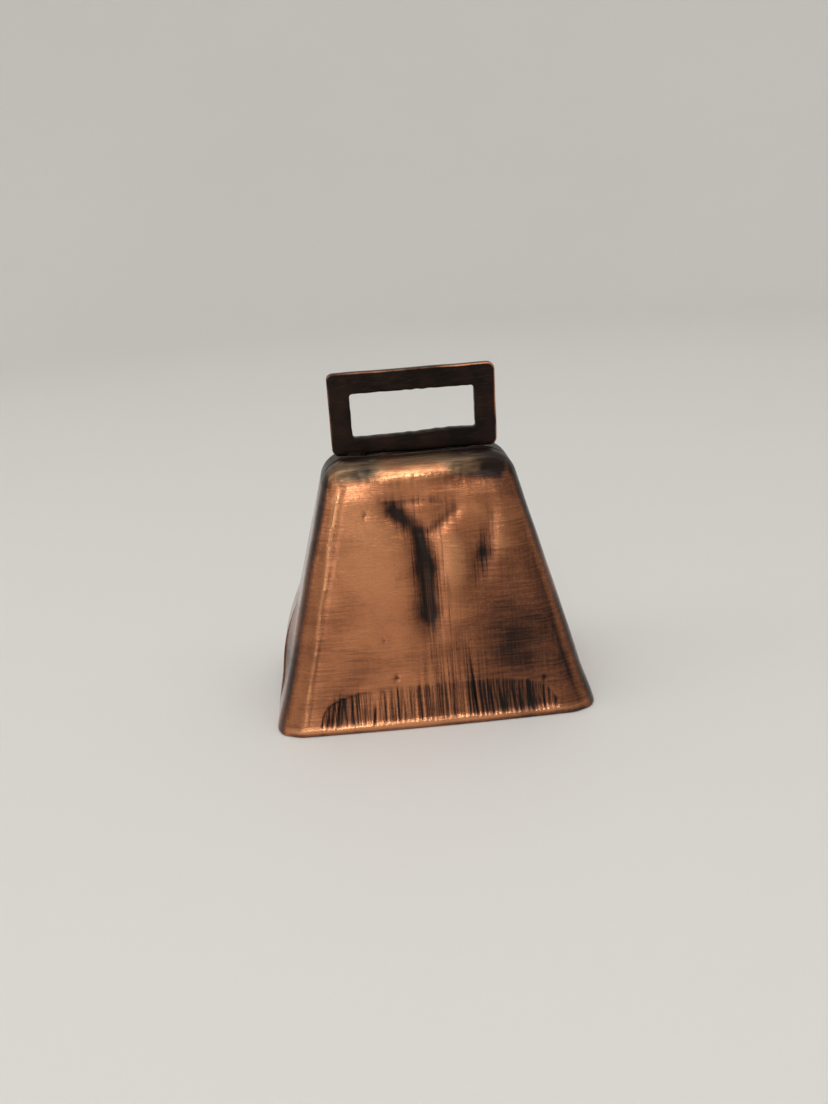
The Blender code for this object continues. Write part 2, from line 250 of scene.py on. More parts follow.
# Hollows, the valley and the dark smudges are strokes, pits are (x, z, radius, depth). A smudge
# has no depth in the sheet and only darkens it: partly patina, partly painted shade of shallow dents.
FRONT = SimpleNamespace(
    hollows=(
        ((-4.5, 32.7), (-1.0, 29.4), (1.50, 1.60), (0.58, 0.46)),
        ((-0.9, 29.2), (-0.2, 23.8), (1.40, 1.90), (0.56, 0.66)),
        ((-0.2, 23.8), (-0.2, 17.2), (1.90, 1.85), (0.66, 0.58)),
        ((-0.2, 17.2), (0.5, 11.6), (1.85, 2.00), (0.58, 0.03)),
        ((5.0, 32.5), (0.8, 29.2), (1.20, 1.10), (0.24, 0.36)),
        ((-5.8, 33.9), (1.6, 34.0), (0.70, 0.70), (0.26, 0.12)),
        ((1.6, 34.0), (4.9, 33.3), (0.70, 0.80), (0.12, 0.16)),
    ),
    valley=(
        ((10.2, 31.0), (8.8, 25.6), (1.10, 1.50), (0.24, 0.48)),
        ((8.8, 25.6), (6.8, 20.2), (1.50, 1.70), (0.48, 0.08)),
    ),
    patina_and_shade_smears=(
        ((-5.0, 33.0), (-2.6, 31.2), (1.6, 1.7), (0.32, 0.34)),
        ((-5.4, 33.9), (1.8, 33.9), (0.55, 0.50), (0.38, 0.30)),
        ((5.4, 33.2), (2.0, 30.4), (0.90, 0.90), (0.12, 0.26)),
        ((-0.8, 28.0), (-0.4, 18.0), (2.20, 2.70), (0.28, 0.36)),
    ),
    pits=((-6.0, 7.9, 0.38, 0.22), (16.8, 5.8, 0.34, 0.2), (-8.7, 32.4, 0.3, 0.16), (-7.4, 13.6, 0.25, 0.12)),
    grooves=scatter_grooves(11, -17.4, 17.6, -3.0, 7.0),
)
REAR = SimpleNamespace(
    hollows=(
        ((-6.2, 33.6), (0.6, 34.3), (0.85, 1.0), (0.20, 0.34)),
        ((0.6, 34.3), (6.8, 32.2), (1.0, 0.9), (0.34, 0.22)),
        ((0.9, 31.6), (0.4, 25.5), (1.3, 1.9), (0.30, 0.52)),
        ((0.4, 25.5), (-0.3, 18.0), (1.9, 1.6), (0.52, 0.06)),
    ),
    valley=(
        ((-8.8, 30.0), (-8.4, 23.0), (1.1, 1.3), (0.12, 0.26)),
        ((-8.4, 23.0), (-9.3, 17.5), (1.2, 1.5), (0.24, 0.05)),
    ),
    patina_and_shade_smears=(
        ((-5.0, 33.8), (3.0, 34.2), (0.7, 0.7), (0.10, 0.26)),
        ((0.8, 30.0), (0.2, 23.0), (1.4, 1.8), (0.20, 0.34)),
    ),
    pits=((5.2, 9.4, 0.36, 0.2), (-13.5, 6.6, 0.32, 0.18), (8.8, 24.0, 0.25, 0.12), (-3.0, 12.2, 0.24, 0.12)),
    grooves=scatter_grooves(23, -17.8, 17.0, -7.0, 3.0),
)
PIT_STRETCH = 1.25

# The same spots are on both panels, mirrored on the rear one
SWELLS = ((4.0, 25.0, 2.8, 5.6, 0.34), (11.6, 27.0, 2.4, 4.0, 0.26))
BROW = ((-1.4, 37.8, 6.5, 1.4, 0.36),)
# Painted shade over the lower right of each panel
LOW_PAINTED_SHADE = ((9.8, 12.6, 6.5, 7.0, 0.37),)
# Painted light: a brighter patch on the upper left of each panel
PAINTED_LIGHT_PATCH = ((-8.8, 29.0, 5.0, 8.0, 0.26),)
SCORED_PATCHES = ((0.9, 17.5, 2.7, 2.7 / 0.55, 0.85), (0.4, 28.0, 5.6, 5.6 / 0.55, 0.55))

# Arch over the hollows: its middle, stretch, radius, width and height
ARCH_X, ARCH_Z = 3.6, 28.6
ARCH_STRETCH, ARCH_RADIUS = 1.05, 6.2
ARCH_WIDTH, ARCH_HEIGHT = 0.9, 0.16

# Low lens-shaped recess above the mouth
LENS_MIDDLE = 0.3
LENS_REACH = 18.4
LENS_HEIGHT = 6.4
LENS_POWER = 3.5
LENS_DEPTH = 0.10
LENS_DEPTH_AT_ENDS = 0.30

# Upright lines near the panel's edges, placed by their share of its half width
CREASE_SHARE = -0.84
CREASE_WIDTH, CREASE_HEIGHT = 0.24, 0.17
CREASE_FOOT_OFFSET, CREASE_FOOT_WIDTH, CREASE_FOOT_DEPTH = 0.5, 0.3, 0.10
FAR_LINE_SHARE = 0.90
FAR_LINE_WIDTH, FAR_LINE_DEPTH = 0.32, 0.08

# Relief of the marks, in millimetres
HOLLOW_DEPTH = 1.25
VALLEY_DEPTH = 1.05
LIP_FLARE = 0.30
BEAD_Z, BEAD_WIDTH, BEAD_HEIGHT = 1.0, 0.42, 0.20
SHOULDER_SINK = 0.80
CORNER_SINK = 0.35
PILLOW = 0.0009
GRAIN_DEPTH = 0.022
FLUTE_DEPTH = 0.030


def groove_depth(across, z, grooves):
    total = np.zeros_like(across)
    for place, width, depth, height in grooves:
        fade = smooth(height, height * 0.45, z) * smooth(0.75, 1.5, z)
        total += depth * bell_curve(across - place, width) * fade
    return total


def lens_inside(u, z):
    """1 inside the low lens-shaped recess above the mouth, 0 outside, with a short ramp."""
    off_middle = np.abs(u - LENS_MIDDLE)
    side = np.clip(off_middle / LENS_REACH, 0, 1)
    top = LENS_HEIGHT * np.clip(1 - side**LENS_POWER, 0, 1) ** (1 / LENS_POWER)
    return smooth(0.35, -0.35, z - top) * smooth(LENS_REACH + 0.3, LENS_REACH - 0.3, off_middle)


def read_panel(x, z, rear):
    """The marks on a panel at its points, by name. u is x, mirrored on the rear panel."""
    panel = REAR if rear else FRONT
    u = -x if rear else x
    half_width = MOUTH_HALF[0] - SLOPE_X * z
    from_crease = u - CREASE_SHARE * half_width
    arch = np.hypot((u - ARCH_X) / ARCH_STRETCH, z - ARCH_Z) - ARCH_RADIUS
    arch_span = smooth(29.0, 31.5, z) * smooth(-1.0, 2.0, u)
    pits = [(*place, radius, radius * PIT_STRETCH, depth) for *place, radius, depth in panel.pits]
    return SimpleNamespace(
        u=u,
        z=z,
        edge_share=u / half_width,
        surface=np.stack([x, 0 * x, z], -1),
        hollow=strokes(x, z, panel.hollows),
        valley=strokes(x, z, panel.valley),
        smear_patina_and_shade=strokes(x, z, panel.patina_and_shade_smears),
        draw=groove_depth(x / (1 - SLOPE_X * z / MOUTH_HALF[0]), z, panel.grooves),
        pitted=spots(x, z, pits),
        lens=lens_inside(u, z),
        above_lip=smooth(0.9, 2.0, z),
        ends=smooth(6.0, 15.0, np.abs(x)),
        crease=bell_curve(from_crease, CREASE_WIDTH),
        crease_foot=bell_curve(from_crease - CREASE_FOOT_OFFSET, CREASE_FOOT_WIDTH),
        far_line=bell_curve(u - FAR_LINE_SHARE * half_width, FAR_LINE_WIDTH),
        line_span=smooth(1.0, 3.0, z) * smooth(37.2, 35.6, z),
        bead=bell_curve(z - BEAD_Z, BEAD_WIDTH),
        swell=spots(u, z, SWELLS) + ARCH_HEIGHT * bell_curve(arch, ARCH_WIDTH) * arch_span,
        brow=spots(u, z, BROW),
        right_corner=smooth(6.0, 12.0, u) * smooth(31.0, 38.0, z),
    )


def panel_relief(m, rear):
    """How far the panel stands out from its flat form, in millimetres."""
    recess = m.lens * (LENS_DEPTH + (LENS_DEPTH_AT_ENDS - LENS_DEPTH) * m.ends) * m.above_lip
    raised = m.swell + m.brow + LIP_FLARE * smooth(5.0, 0.5, m.z) + BEAD_HEIGHT * m.bead
    pressed = HOLLOW_DEPTH * m.hollow + VALLEY_DEPTH * m.valley + recess + m.draw + m.pitted
    lines = CREASE_HEIGHT * m.crease - CREASE_FOOT_DEPTH * m.crease_foot - FAR_LINE_DEPTH * m.far_line
    top_ends = smooth(2.0, 9.5, np.abs(m.u + 1.2)) * smooth(33.8, 38.2, m.z)
    sunk = SHOULDER_SINK * top_ends + CORNER_SINK * m.right_corner + PILLOW * m.u**2
    grain = GRAIN_DEPTH * ripple(m.surface, 1.3, 81) * smooth(35.0, 37.0, m.z)
    flutes = ripple(m.surface * np.array([1.0, 1.0, 0.12]), 0.9, 82 + rear)
    grain += FLUTE_DEPTH * flutes * np.clip(m.hollow * 1.6 + m.valley, 0, 1)
    return raised - pressed + m.line_span * lines + grain - sunk


def panel_patina_and_shade(m):
    """How dark the panel is, from 0 for clean copper to 1 for black: patina and painted shade."""
    lens_edge = bell_curve(m.lens - 0.5, 0.33) * m.ends * (m.u < 0)
    # Patina in the hollows, valley, draw marks, pits and lens, with the smudges' painted shade
    patina_and_shade = 1.95 * m.hollow**1.5 + 1.3 * m.valley**1.3 + m.smear_patina_and_shade
    patina_and_shade += 3.2 * m.draw + 3.5 * m.pitted + 0.55 * lens_edge + 0.26 * m.lens * m.above_lip
    # Darker on the lip's rounded foot and a little towards the bottom
    patina_and_shade += 0.36 * smooth(0.9, 0.2, m.z) + 0.10 * smooth(24.0, 4.0, m.z)
    # Painted shade: the lower right, the right half, the right edge and the top right corner
    patina_and_shade += spots(m.u, m.z, LOW_PAINTED_SHADE)
    low_share = 0.6 + 0.4 * smooth(3.0, 8.0, m.z)
    patina_and_shade += 0.46 * smooth(2.0, 13.0, m.u) * smooth(38.0, 22.0, m.z) * low_share
    patina_and_shade += 0.26 * smooth(0.70, 0.98, m.edge_share) + 0.62 * m.right_corner
    patina_and_shade += (0.30 * m.crease_foot + 0.25 * m.far_line) * m.line_span
    # Painted shade on the top left of the shoulder
    patina_and_shade += 0.36 * smooth(4.5, 9.5, -m.u) * smooth(36.6, 38.4, m.z)
    return patina_and_shade


def panel_highlight_and_wear(m):
    """How far the panel is painted bright with highlights, from 0 to 1."""
    ragged = 0.75 + 0.45 * ripple(m.surface * np.array([0.5, 1.0, 2.0]), 1.1, 91)
    # Painted highlights on the crease line and on the lip bead
    wear = (0.4 + 0.5 * smooth(18.0, 33.0, m.z)) * m.crease * m.line_span + 0.55 * m.bead
    # A ragged painted highlight along the brow of the shoulder
    wear += 0.62 * smooth(0.08, 0.28, m.brow) * smooth(36.7, 37.5, m.z) * ragged
    # The painted lighter patch on the upper left
    wear += spots(m.u, m.z, PAINTED_LIGHT_PATCH)
    # Painted highlights on the swells and the arch; the draw marks stay dull
    return wear + 0.45 * smooth(0.12, 0.36, m.swell) - 0.8 * m.draw


def panel_scoring(m):
    """Where fine upright scores run, from 0 to 1."""
    scored = m.lens * smooth(0.9, 1.8, m.z) + spots(m.u, m.z, SCORED_PATCHES)
    scored += 0.75 * bell_curve(m.u - 2.0, 5.0) * smooth(17.0, 7.0, m.z) * smooth(4.0, 6.5, m.z)
    return np.clip(scored + 0.5 * smooth(0.05, 0.3, m.valley), 0, 1)


# ---------------------------------------------------------------- bell shells


# Rows packed close together at the lip, and lap columns close together at its edge
LIP_ROWS = (0.0, 0.03, 0.08, 0.15, 0.25, 0.37, 0.52, 0.7, 0.9, 1.1, 1.35, 1.65)
EVEN_ROWS_FROM = 2.0
REAR_LAP_SHARES = (0.95, 0.97, 0.985, 0.995, 1.0)
FRONT_LAP_SHARES = (0.96, 0.98, 0.992, 1.0)
EVEN_LAP_SHARE = 0.93

# Low bosses on the crown over the clinched tabs: (x, y, half width, half depth, height)
TAB_BOSSES = ((-9.4, -3.3, 2.8, 1.3, 0.26), (9.4, -3.2, 2.5, 1.3, 0.22))
REAR_CROWN_SHARE = 0.4

# Where the rear shell's lap stands up on the crown: (x, width, height)
LAP_RISES = ((-9.3, 2.3, 0.34), (5.2, 1.1, 0.42), (10.2, 1.9, 0.36))
LAP_RISE_REACH = 0.62

# The laps bow out near the mouth
BOW_LEFT, BOW_RIGHT = 1.05, 0.35
BOW_Z, BOW_HALF_HEIGHT = 11.5, 6.5
FRONT_BOW_SHARE = 0.97


def ramp(count, low=0.0, high=1.0):
    return np.linspace(low, high, count + 1)


def wall_row_fractions():
    """Heights of the wall's rows as fractions of the core's height."""
    even = np.linspace(EVEN_ROWS_FROM / CORE_TOP, 1.0, WALL_ROWS + 1)
    return np.concatenate([np.array(LIP_ROWS) / CORE_TOP, even])


def panel_column_places():
    """Places of the flat columns across a panel, with one on each edge of the tab slots."""
    half_at_crown = MOUTH_HALF[0] - SLOPE_X * CORE_TOP - ROUNDING * math.hypot(1, SLOPE_X)
    marks = [-1.0]
    for sign in (-1, 1):
        marks += [(sign * SLOT_CENTRE + side * SLOT_HALF[0]) / half_at_crown for side in (-1, 1)]
    marks = sorted(m for m in marks + [1.0] if abs(m) <= 1.0)
    places = [np.array([marks[0]])]
    for low, high in zip(marks, marks[1:]):
        count = max(2, round(PANEL_COLUMNS * (high - low) / 2))
        places.append(np.linspace(low, high, count + 1)[1:])
    return np.concatenate(places)


def lap_columns(rear):
    """Columns of the side walls: shares (before the step, over it, past it) and inset."""
    if rear:
        before = np.concatenate([ramp(26, 0, EVEN_LAP_SHARE), REAR_LAP_SHARES])
        zeros = np.zeros_like(before)
        return np.stack([before, zeros, zeros], 1), zeros
    before = ramp(16)
    over = ramp(9)[1:]
    past = np.concatenate([ramp(14, 0, EVEN_LAP_SHARE)[1:], FRONT_LAP_SHARES])
    shares = np.concatenate(
        [
            np.stack([before, 0 * before, 0 * before], 1),
            np.stack([0 * over + 1, over, 0 * over], 1),
            np.stack([0 * past + 1, 0 * past + 1, past], 1),
        ]
    )
    return shares, (SHEET + SEAT_GAP) * smooth(0.0, 1.0, shares[:, 1])


def body_points(patch, extra_inset, rear):
    """Points of a patch on the bell's rounded form, and their outward normals.

    front, side and up are the shares of those directions in the normal, side being signed. row
    is the height as a fraction of the wall, and across is the place across the panel.
    """
    front, side, up, row, across, inset, to_step, over_step, past_step = patch
    towards_front = unit(np.array([0.0, -1.0, SLOPE_Y]))
    side_length = math.hypot(1, SLOPE_X)
    rise = front * towards_front[2] + np.abs(side) * SLOPE_X / side_length + up
    normal = np.stack([side / side_length, front * towards_front[1], rise], -1)
    level = unit(normal - np.stack([0 * up, 0 * up, up], -1))
    normal = unit(normal)
    radius = ROUNDING - (inset + extra_inset)
    top = CORE_TOP + radius * level[..., 2]
    core_z = np.where(row < 1.0, row * top - radius * level[..., 2], CORE_TOP)
    core_x = MOUTH_HALF[0] - SLOPE_X * core_z - ROUNDING * side_length
    core_y = MOUTH_HALF[1] - SLOPE_Y * core_z - ROUNDING * math.hypot(1, SLOPE_Y)
    drop = BODY_HEIGHT - (core_z + radius * normal[..., 2])
    seam = LAP_FRONT_AT_CROWN + LAP_SLOPE * drop
    step_start = seam - SEAT_GAP if rear else -seam - JOGGLE_LENGTH
    lap_end = step_start if rear else LAP_REAR_AT_CROWN + LAP_SLOPE * drop
    step = 0.0 if rear else JOGGLE_LENGTH
    y = -core_y + to_step * (step_start + core_y) + over_step * step
    y = y + past_step * (lap_end - step_start - step)
    core = np.stack([across * core_x, y, core_z], -1)
    return core + radius[..., None] * normal, normal


def shell_patches(rear):
    """The grids that make up one shell, as body_points reads them: front, two sides, crown."""
    turn = np.tan(np.radians(np.linspace(0, 45, CORNER_COLUMNS + 1)))
    lift = np.tan(np.radians(np.linspace(0, 45, SHOULDER_ROWS + 1)))
    rows = wall_row_fractions()
    row = np.concatenate([rows, np.ones(SHOULDER_ROWS)])[:, None]
    up = np.concatenate([np.zeros(len(rows)), lift[1:]])[:, None]
    places = panel_column_places()
    across = np.concatenate([-np.ones(CORNER_COLUMNS), places, np.ones(CORNER_COLUMNS)])
    side = np.concatenate([-turn[:0:-1], np.zeros(len(places)), turn[1:]])
    shares, inset = lap_columns(rear)

    def round_the_edge(bend):
        """Front share, inset and lap shares over a rounded edge and then along the lap."""
        lead = len(bend) - 1
        front = np.concatenate([bend[:0:-1], np.zeros(len(shares))])
        lap_inset = np.concatenate([np.zeros(lead), inset])
        return front, lap_inset, np.concatenate([np.zeros((lead, 3)), shares]).T

    one, none = np.ones((1, 1)), np.zeros((1, 1))
    patches = [(one, side, up, row, across, none, none, none, none)]
    front, lap_inset, lap_shares = round_the_edge(turn)
    patches += [(front, sign * one, up, row, sign * one, lap_inset, *lap_shares) for sign in (-1, 1)]
    front, lap_inset, lap_shares = round_the_edge(lift)
    down_lap = [part[:, None] for part in (front, lap_inset, *lap_shares)]
    patches.append((down_lap[0], side, one, one, across, *down_lap[1:]))
    return [np.broadcast_arrays(*patch) for patch in patches]


def in_tab_slot(centres):
    on_crown = centres[:, 2] > BODY_HEIGHT - 1.5
    beside = np.abs(np.abs(centres[:, 0]) - SLOT_CENTRE) < SLOT_HALF[0]
    return on_crown & beside & (np.abs(centres[:, 1]) < SLOT_HALF[1])


def shell_sheet(rear):
    """A shell's outer points, the lining behind them, normals, insets and quads."""
    outer, inner, normals, insets, faces = [], [], [], [], []
    offset = 0
    for number, patch in enumerate(shell_patches(rear)):
        points, normal = body_points(patch, 0.0, rear)
        quads = grid_quads(*points.shape[:2]) + offset
        faces.append(quads[:, ::-1] if number == 1 else quads)
        offset += points.shape[0] * points.shape[1]
        outer.append(points.reshape(-1, 3))
        inner.append(body_points(patch, SHEET, rear)[0].reshape(-1, 3))
        normals.append(normal.reshape(-1, 3))
        insets.append(patch[5].ravel())
    outer, inner, normals, insets = map(np.concatenate, (outer, inner, normals, insets))

    keys = np.round(outer * 2000).astype(np.int64)
    _, first, back = np.unique(keys, axis=0, return_index=True, return_inverse=True)
    outer, inner, normals, insets = outer[first], inner[first], normals[first], insets[first]
    faces = back.ravel()[np.concatenate(faces)]
    return outer, inner, normals, insets, faces[~in_tab_slot(outer[faces].mean(1))]


def crown_marks(points, rear):
    """Bosses over the clinched tabs, the crown's painted dark ends and reflection, and painted highlights
    round the bosses: (displacement, painted shade, painted highlight).
    """
    x, y, z = points.T
    out, patina_and_shade, wear = np.zeros((3, len(points)))
    for middle_x, middle_y, half_width, half_depth, height in TAB_BOSSES:
        place = np.hypot((x - middle_x) / half_width, (y - middle_y) / half_depth)
        out += height * smooth(1.25, 0.55, place)
        # Painted reflection darkens each boss
        patina_and_shade += 0.34 * smooth(1.15, 0.5, place)
        # A painted highlight round each boss's rim
        wear += 0.22 * bell_curve(place - 1.05, 0.12)
    drop = BODY_HEIGHT - z
    # Painted shade on the crown: darker at its ends, along its top and to the right, with a random tone
    patina_and_shade += 0.34 * smooth(3.5, 7.5, np.abs(x + 0.8)) + 0.40 * smooth(1.8, 0.5, drop)
    patina_and_shade += 0.20 * smooth(1.0, 6.0, x) + 0.14 * ripple(points, 5.0, 45)
    # A painted shadow round the handle's foot
    patina_and_shade += 0.60 * smooth(2.8, 1.0, np.abs(y)) * smooth(2.4, 0.9, drop)
    fade = smooth(4.0, 2.0, drop)
    share = REAR_CROWN_SHARE if rear else 1.0
    return out * fade * share, patina_and_shade * fade, wear * fade * share


def side_marks(points, normals, rear):
    """The long side walls: the laps bow out, and both walls are darkened with painted shade."""
    x, y, z = points.T
    sideways = np.abs(normals[:, 0])
    on_left = x > 0 if rear else x < 0
    bow = np.where(on_left, BOW_LEFT, BOW_RIGHT) * bell_curve(z - BOW_Z, BOW_HALF_HEIGHT)
    out = bow * smooth(21.5, 15.0, z) * smooth(-9.5, -2.5, y) * smooth(0.55, 0.9, sideways)
    if not rear:
        out = out * FRONT_BOW_SHARE
    turned = smooth(0.58, 0.86, sideways)
    # Painted shade as the walls turn away from the panel
    patina_and_shade = turned * (0.52 + 0.16 * ripple(points, 14.0, 31 + rear))
    # A painted dark reflection band where the walls turn
    patina_and_shade += 0.40 * bell_curve(sideways - 0.80, 0.11)
    return out, patina_and_shade, turned


def lap_lift(points, to_edge, rear):
    """The rear shell's lapped edge stands up a little on the crown, mostly next to the tabs."""
    if not rear:
        return np.zeros(len(points))
    lift = sum(height * bell_curve(points[:, 0] - x, width) for x, width, height in LAP_RISES)
    lift = lift + 0.07 * (1 + ripple(points, 3.0, 41))
    on_crown = smooth(BODY_HEIGHT - 1.2, BODY_HEIGHT - 0.4, points[:, 2])
    return lift * on_crown * smooth(LAP_RISE_REACH, 0.0, to_edge)


def lap_edge_distance(points, rear):
    """Distance in y from a point to the free edge of its shell's lap."""
    edge_at_crown = LAP_FRONT_AT_CROWN - SEAT_GAP if rear else LAP_REAR_AT_CROWN
    return edge_at_crown + LAP_SLOPE * (BODY_HEIGHT - points[:, 2]) - points[:, 1]


def edge_round(distance, radius):
    """How far a surface rounds in near an edge."""
    inside = np.clip(radius - distance, 0, radius)
    return radius - np.sqrt(np.clip(radius**2 - inside**2, 0, None))


def rim_quads(faces, count):
    """Quads that join a sheet's open edges to those of its lining, count points further on."""
    edges = np.concatenate([faces[:, [k, (k + 1) % 4]] for k in range(4)])
    _, first, seen = np.unique(np.sort(edges, axis=1), axis=0, return_index=True, return_counts=True)
    rim = edges[first[seen == 1]]
    return np.stack([rim[:, 1], rim[:, 0], rim[:, 0] + count, rim[:, 1] + count], 1)


def build_shell(name, rear):
    """One shell as a closed sheet. The rear one is made facing front and then turned round."""
    outer, inner, normals, insets, faces = shell_sheet(rear)
    x, z = outer[:, 0], outer[:, 2]
    on_panel = smooth(0.62, 0.93, normals @ unit(np.array([0.0, -1.0, SLOPE_Y])))
    marks = read_panel(x, z, rear)
    crown_out, crown_painted_shade, crown_rim_highlight = crown_marks(outer, rear)
    side_out, side_painted_shade, turned = side_marks(outer, normals, rear)
    to_edge = lap_edge_distance(outer, rear)

    out = panel_relief(marks, rear) * on_panel + crown_out + side_out + lap_lift(outer, to_edge, rear)
    out = out + 0.22 * smooth(6.0, 1.0, z) * (1 - on_panel)
    out = out + 0.05 * ripple(outer, 11.0, 5 + rear) * smooth(0.0, 4.0, z)
    under_lap = smooth(0.9, 1.0, insets / (SHEET + SEAT_GAP))
    # Darkness: patina and painted shade on the panels, painted shade on the crown and side walls, and darker
    # where the front shell's lap lies under the rear's
    patina_and_shade = panel_patina_and_shade(marks) * on_panel + crown_painted_shade + side_painted_shade + 0.3 * under_lap
    # Painted highlights on the shoulder, the panels and the boss rims, carried in wear
    shoulder_highlight = smooth(0.6, 0.98, normals[:, 2]) * smooth(0.99, 0.9, normals[:, 2]) * on_panel
    wear = panel_highlight_and_wear(marks) * on_panel + crown_rim_highlight + 0.30 * shoulder_highlight * bell_curve(x, 9.0)
    scored = panel_scoring(marks) * on_panel

    # Near the mouth the sheet moves only sideways, so the lip stays level on the floor
    level = np.stack([1 + 0 * z, 1 + 0 * z, np.clip(z / 1.5, 0, 1)], 1)
    shift = normals * level * out[:, None]
    rounding = edge_round(z, LIP_ROUNDING) + edge_round(to_edge, EDGE_ROUNDING)
    lining_rounding = edge_round(z, EDGE_ROUNDING) + edge_round(to_edge, EDGE_ROUNDING)
    outer = outer + shift - normals * level * rounding[:, None]
    inner = inner + shift + normals * level * lining_rounding[:, None]

    count = len(outer)
    points = np.concatenate([outer, inner])
    if rear:
        points = points * np.array([-1.0, -1.0, 1.0])
    quads = np.concatenate([faces, faces[:, ::-1] + count, rim_quads(faces, count)])
    # On the shells the wear attribute holds mostly painted highlight
    attributes = {
        "patina_and_shade": np.clip(np.concatenate([patina_and_shade, 0.35 + 0.3 * patina_and_shade]), 0, 1),
        "wear": np.clip(np.concatenate([wear, 0 * wear]), 0, 1),
        "lining": np.concatenate([np.zeros(count), np.ones(count)]),
        "scored": np.concatenate([scored, 0 * scored]),
        "side": np.concatenate([turned, turned]),
        "crown": smooth(0.35, 0.7, np.concatenate([normals[:, 2], normals[:, 2]])),
    }
    return make_mesh(name, points, quads.tolist(), attributes)


# ---------------------------------------------------------------- materials


# Colours are linear red, green, blue and 1. A pair is two shades that clouds move between
COPPER_CLEAN = ((0.52, 0.205, 0.090, 1), (0.40, 0.150, 0.066, 1))
# Bright copper for painted highlights and rubbed places
COPPER_HIGHLIGHT_AND_WEAR = (0.86, 0.42, 0.20, 1)
COPPER_BROWN = ((0.17, 0.060, 0.030, 1), (0.23, 0.088, 0.040, 1))
# Olive-grey painted reflection on the upward-facing crown
CROWN_PAINTED_REFLECTION = (0.17, 0.105, 0.055, 1)
COPPER_BLACK = (0.018, 0.011, 0.009, 1)
LINING = ((0.085, 0.055, 0.040, 1), (0.16, 0.085, 0.05, 1))
LINING_SPECK = (0.03, 0.024, 0.02, 1)
HANDLE_BLACK = ((0.011, 0.008, 0.0065, 1), (0.024, 0.014, 0.011, 1))
HANDLE_STREAK = (0.06, 0.028, 0.018, 1)
HANDLE_RUBBED = (0.50, 0.21, 0.10, 1)
WIRE_STEEL = ((0.20, 0.175, 0.155, 1), (0.34, 0.30, 0.27, 1))
WIRE_RUST = (0.13, 0.055, 0.025, 1)
WIRE_RUBBED = (0.62, 0.58, 0.53, 1)
BALL_STEEL = ((0.22, 0.19, 0.17, 1), (0.36, 0.32, 0.29, 1))
BALL_RUST = (0.10, 0.055, 0.035, 1)
BALL_STRUCK = (0.66, 0.62, 0.58, 1)
FLOOR_PALE = ((0.66, 0.645, 0.62, 1), (0.70, 0.685, 0.66, 1))
COAT_WEIGHT, COAT_ROUGHNESS = 0.25, 0.28


class Nodes:
    """Short calls for building a node material. Most return the new node's output."""

    def __init__(self, name):
        self.material = bpy.data.materials.new(name)
        self.material.use_nodes = True
        self.tree = self.material.node_tree
        self.shader = self.tree.nodes["Principled BSDF"]

    def put(self, socket, value):
        """Link a node's output to a socket, or give the socket a plain value."""
        if hasattr(value, "is_output"):
            self.tree.links.new(value, socket)
        else:
            socket.default_value = value

    def node(self, kind, inputs):
        node = self.tree.nodes.new("ShaderNode" + kind)
        for socket, value in inputs.items():
            self.put(node.inputs[socket], value)
        return node

    def attribute(self, name):
        node = self.node("Attribute", {})
        node.attribute_name = name
        return node.outputs["Fac"]

    def noise(self, per_mm, detail=3.0, roughness=0.55, distortion=0.0):
        """Noise with so many features per millimetre along x, y and z."""
        place = self.node("TexCoord", {}).outputs["Object"]
        scale = tuple(rate / MM for rate in per_mm)
        mapped = self.node("Mapping", {"Vector": place, "Scale": scale}).outputs["Vector"]
        inputs = {"Vector": mapped, "Scale": 1.0, "Detail": detail}
        inputs.update({"Roughness": roughness, "Distortion": distortion})
        return self.node("TexNoise", inputs).outputs["Fac"]

    def even_noise(self, per_mm, detail=3.0, roughness=0.6):
        return self.noise((per_mm, per_mm, per_mm), detail, roughness)

    def math(self, operation, *values):
        node = self.node("Math", dict(enumerate(values)))
        node.operation = operation
        return node.outputs["Value"]

    def add(self, first, *others):
        for other in others:
            first = self.math("ADD", first, other)
        return first

    def times(self, first, second):
        return self.math("MULTIPLY", first, second)

    def one_minus(self, value):
        return self.math("SUBTRACT", 1.0, value)

    def remap(self, value, low, high, to_low=0.0, to_high=1.0):
        """A soft step: to_low where the value is low or less, to_high where it is high or more."""
        inputs = {"Value": value, "From Min": low, "From Max": high, "To Min": to_low, "To Max": to_high}
        node = self.node("MapRange", inputs)
        node.interpolation_type = "SMOOTHSTEP"
        return node.outputs["Result"]

    def mix(self, factor, first, second):
        node = self.node("Mix", {"Factor": factor})
        node.data_type = "RGBA"
        self.put(node.inputs[6], first)
        self.put(node.inputs[7], second)
        return node.outputs[2]

    def bumps(self, *layers):
        """Bumps one over another: (height, distance in mm, strength) for each."""
        normal = None
        for height, distance_mm, strength in layers:
            inputs = {"Height": height, "Distance": distance_mm * MM, "Strength": strength}
            if normal is not None:
                inputs["Normal"] = normal
            normal = self.node("Bump", inputs).outputs["Normal"]
        return normal

    def finish(self, colour, roughness, normal, metallic=1.0):
        values = {"Base Color": colour, "Roughness": roughness, "Metallic": metallic, "Normal": normal}
        for socket, value in values.items():
            self.put(self.shader.inputs[socket], value)
        return self.material


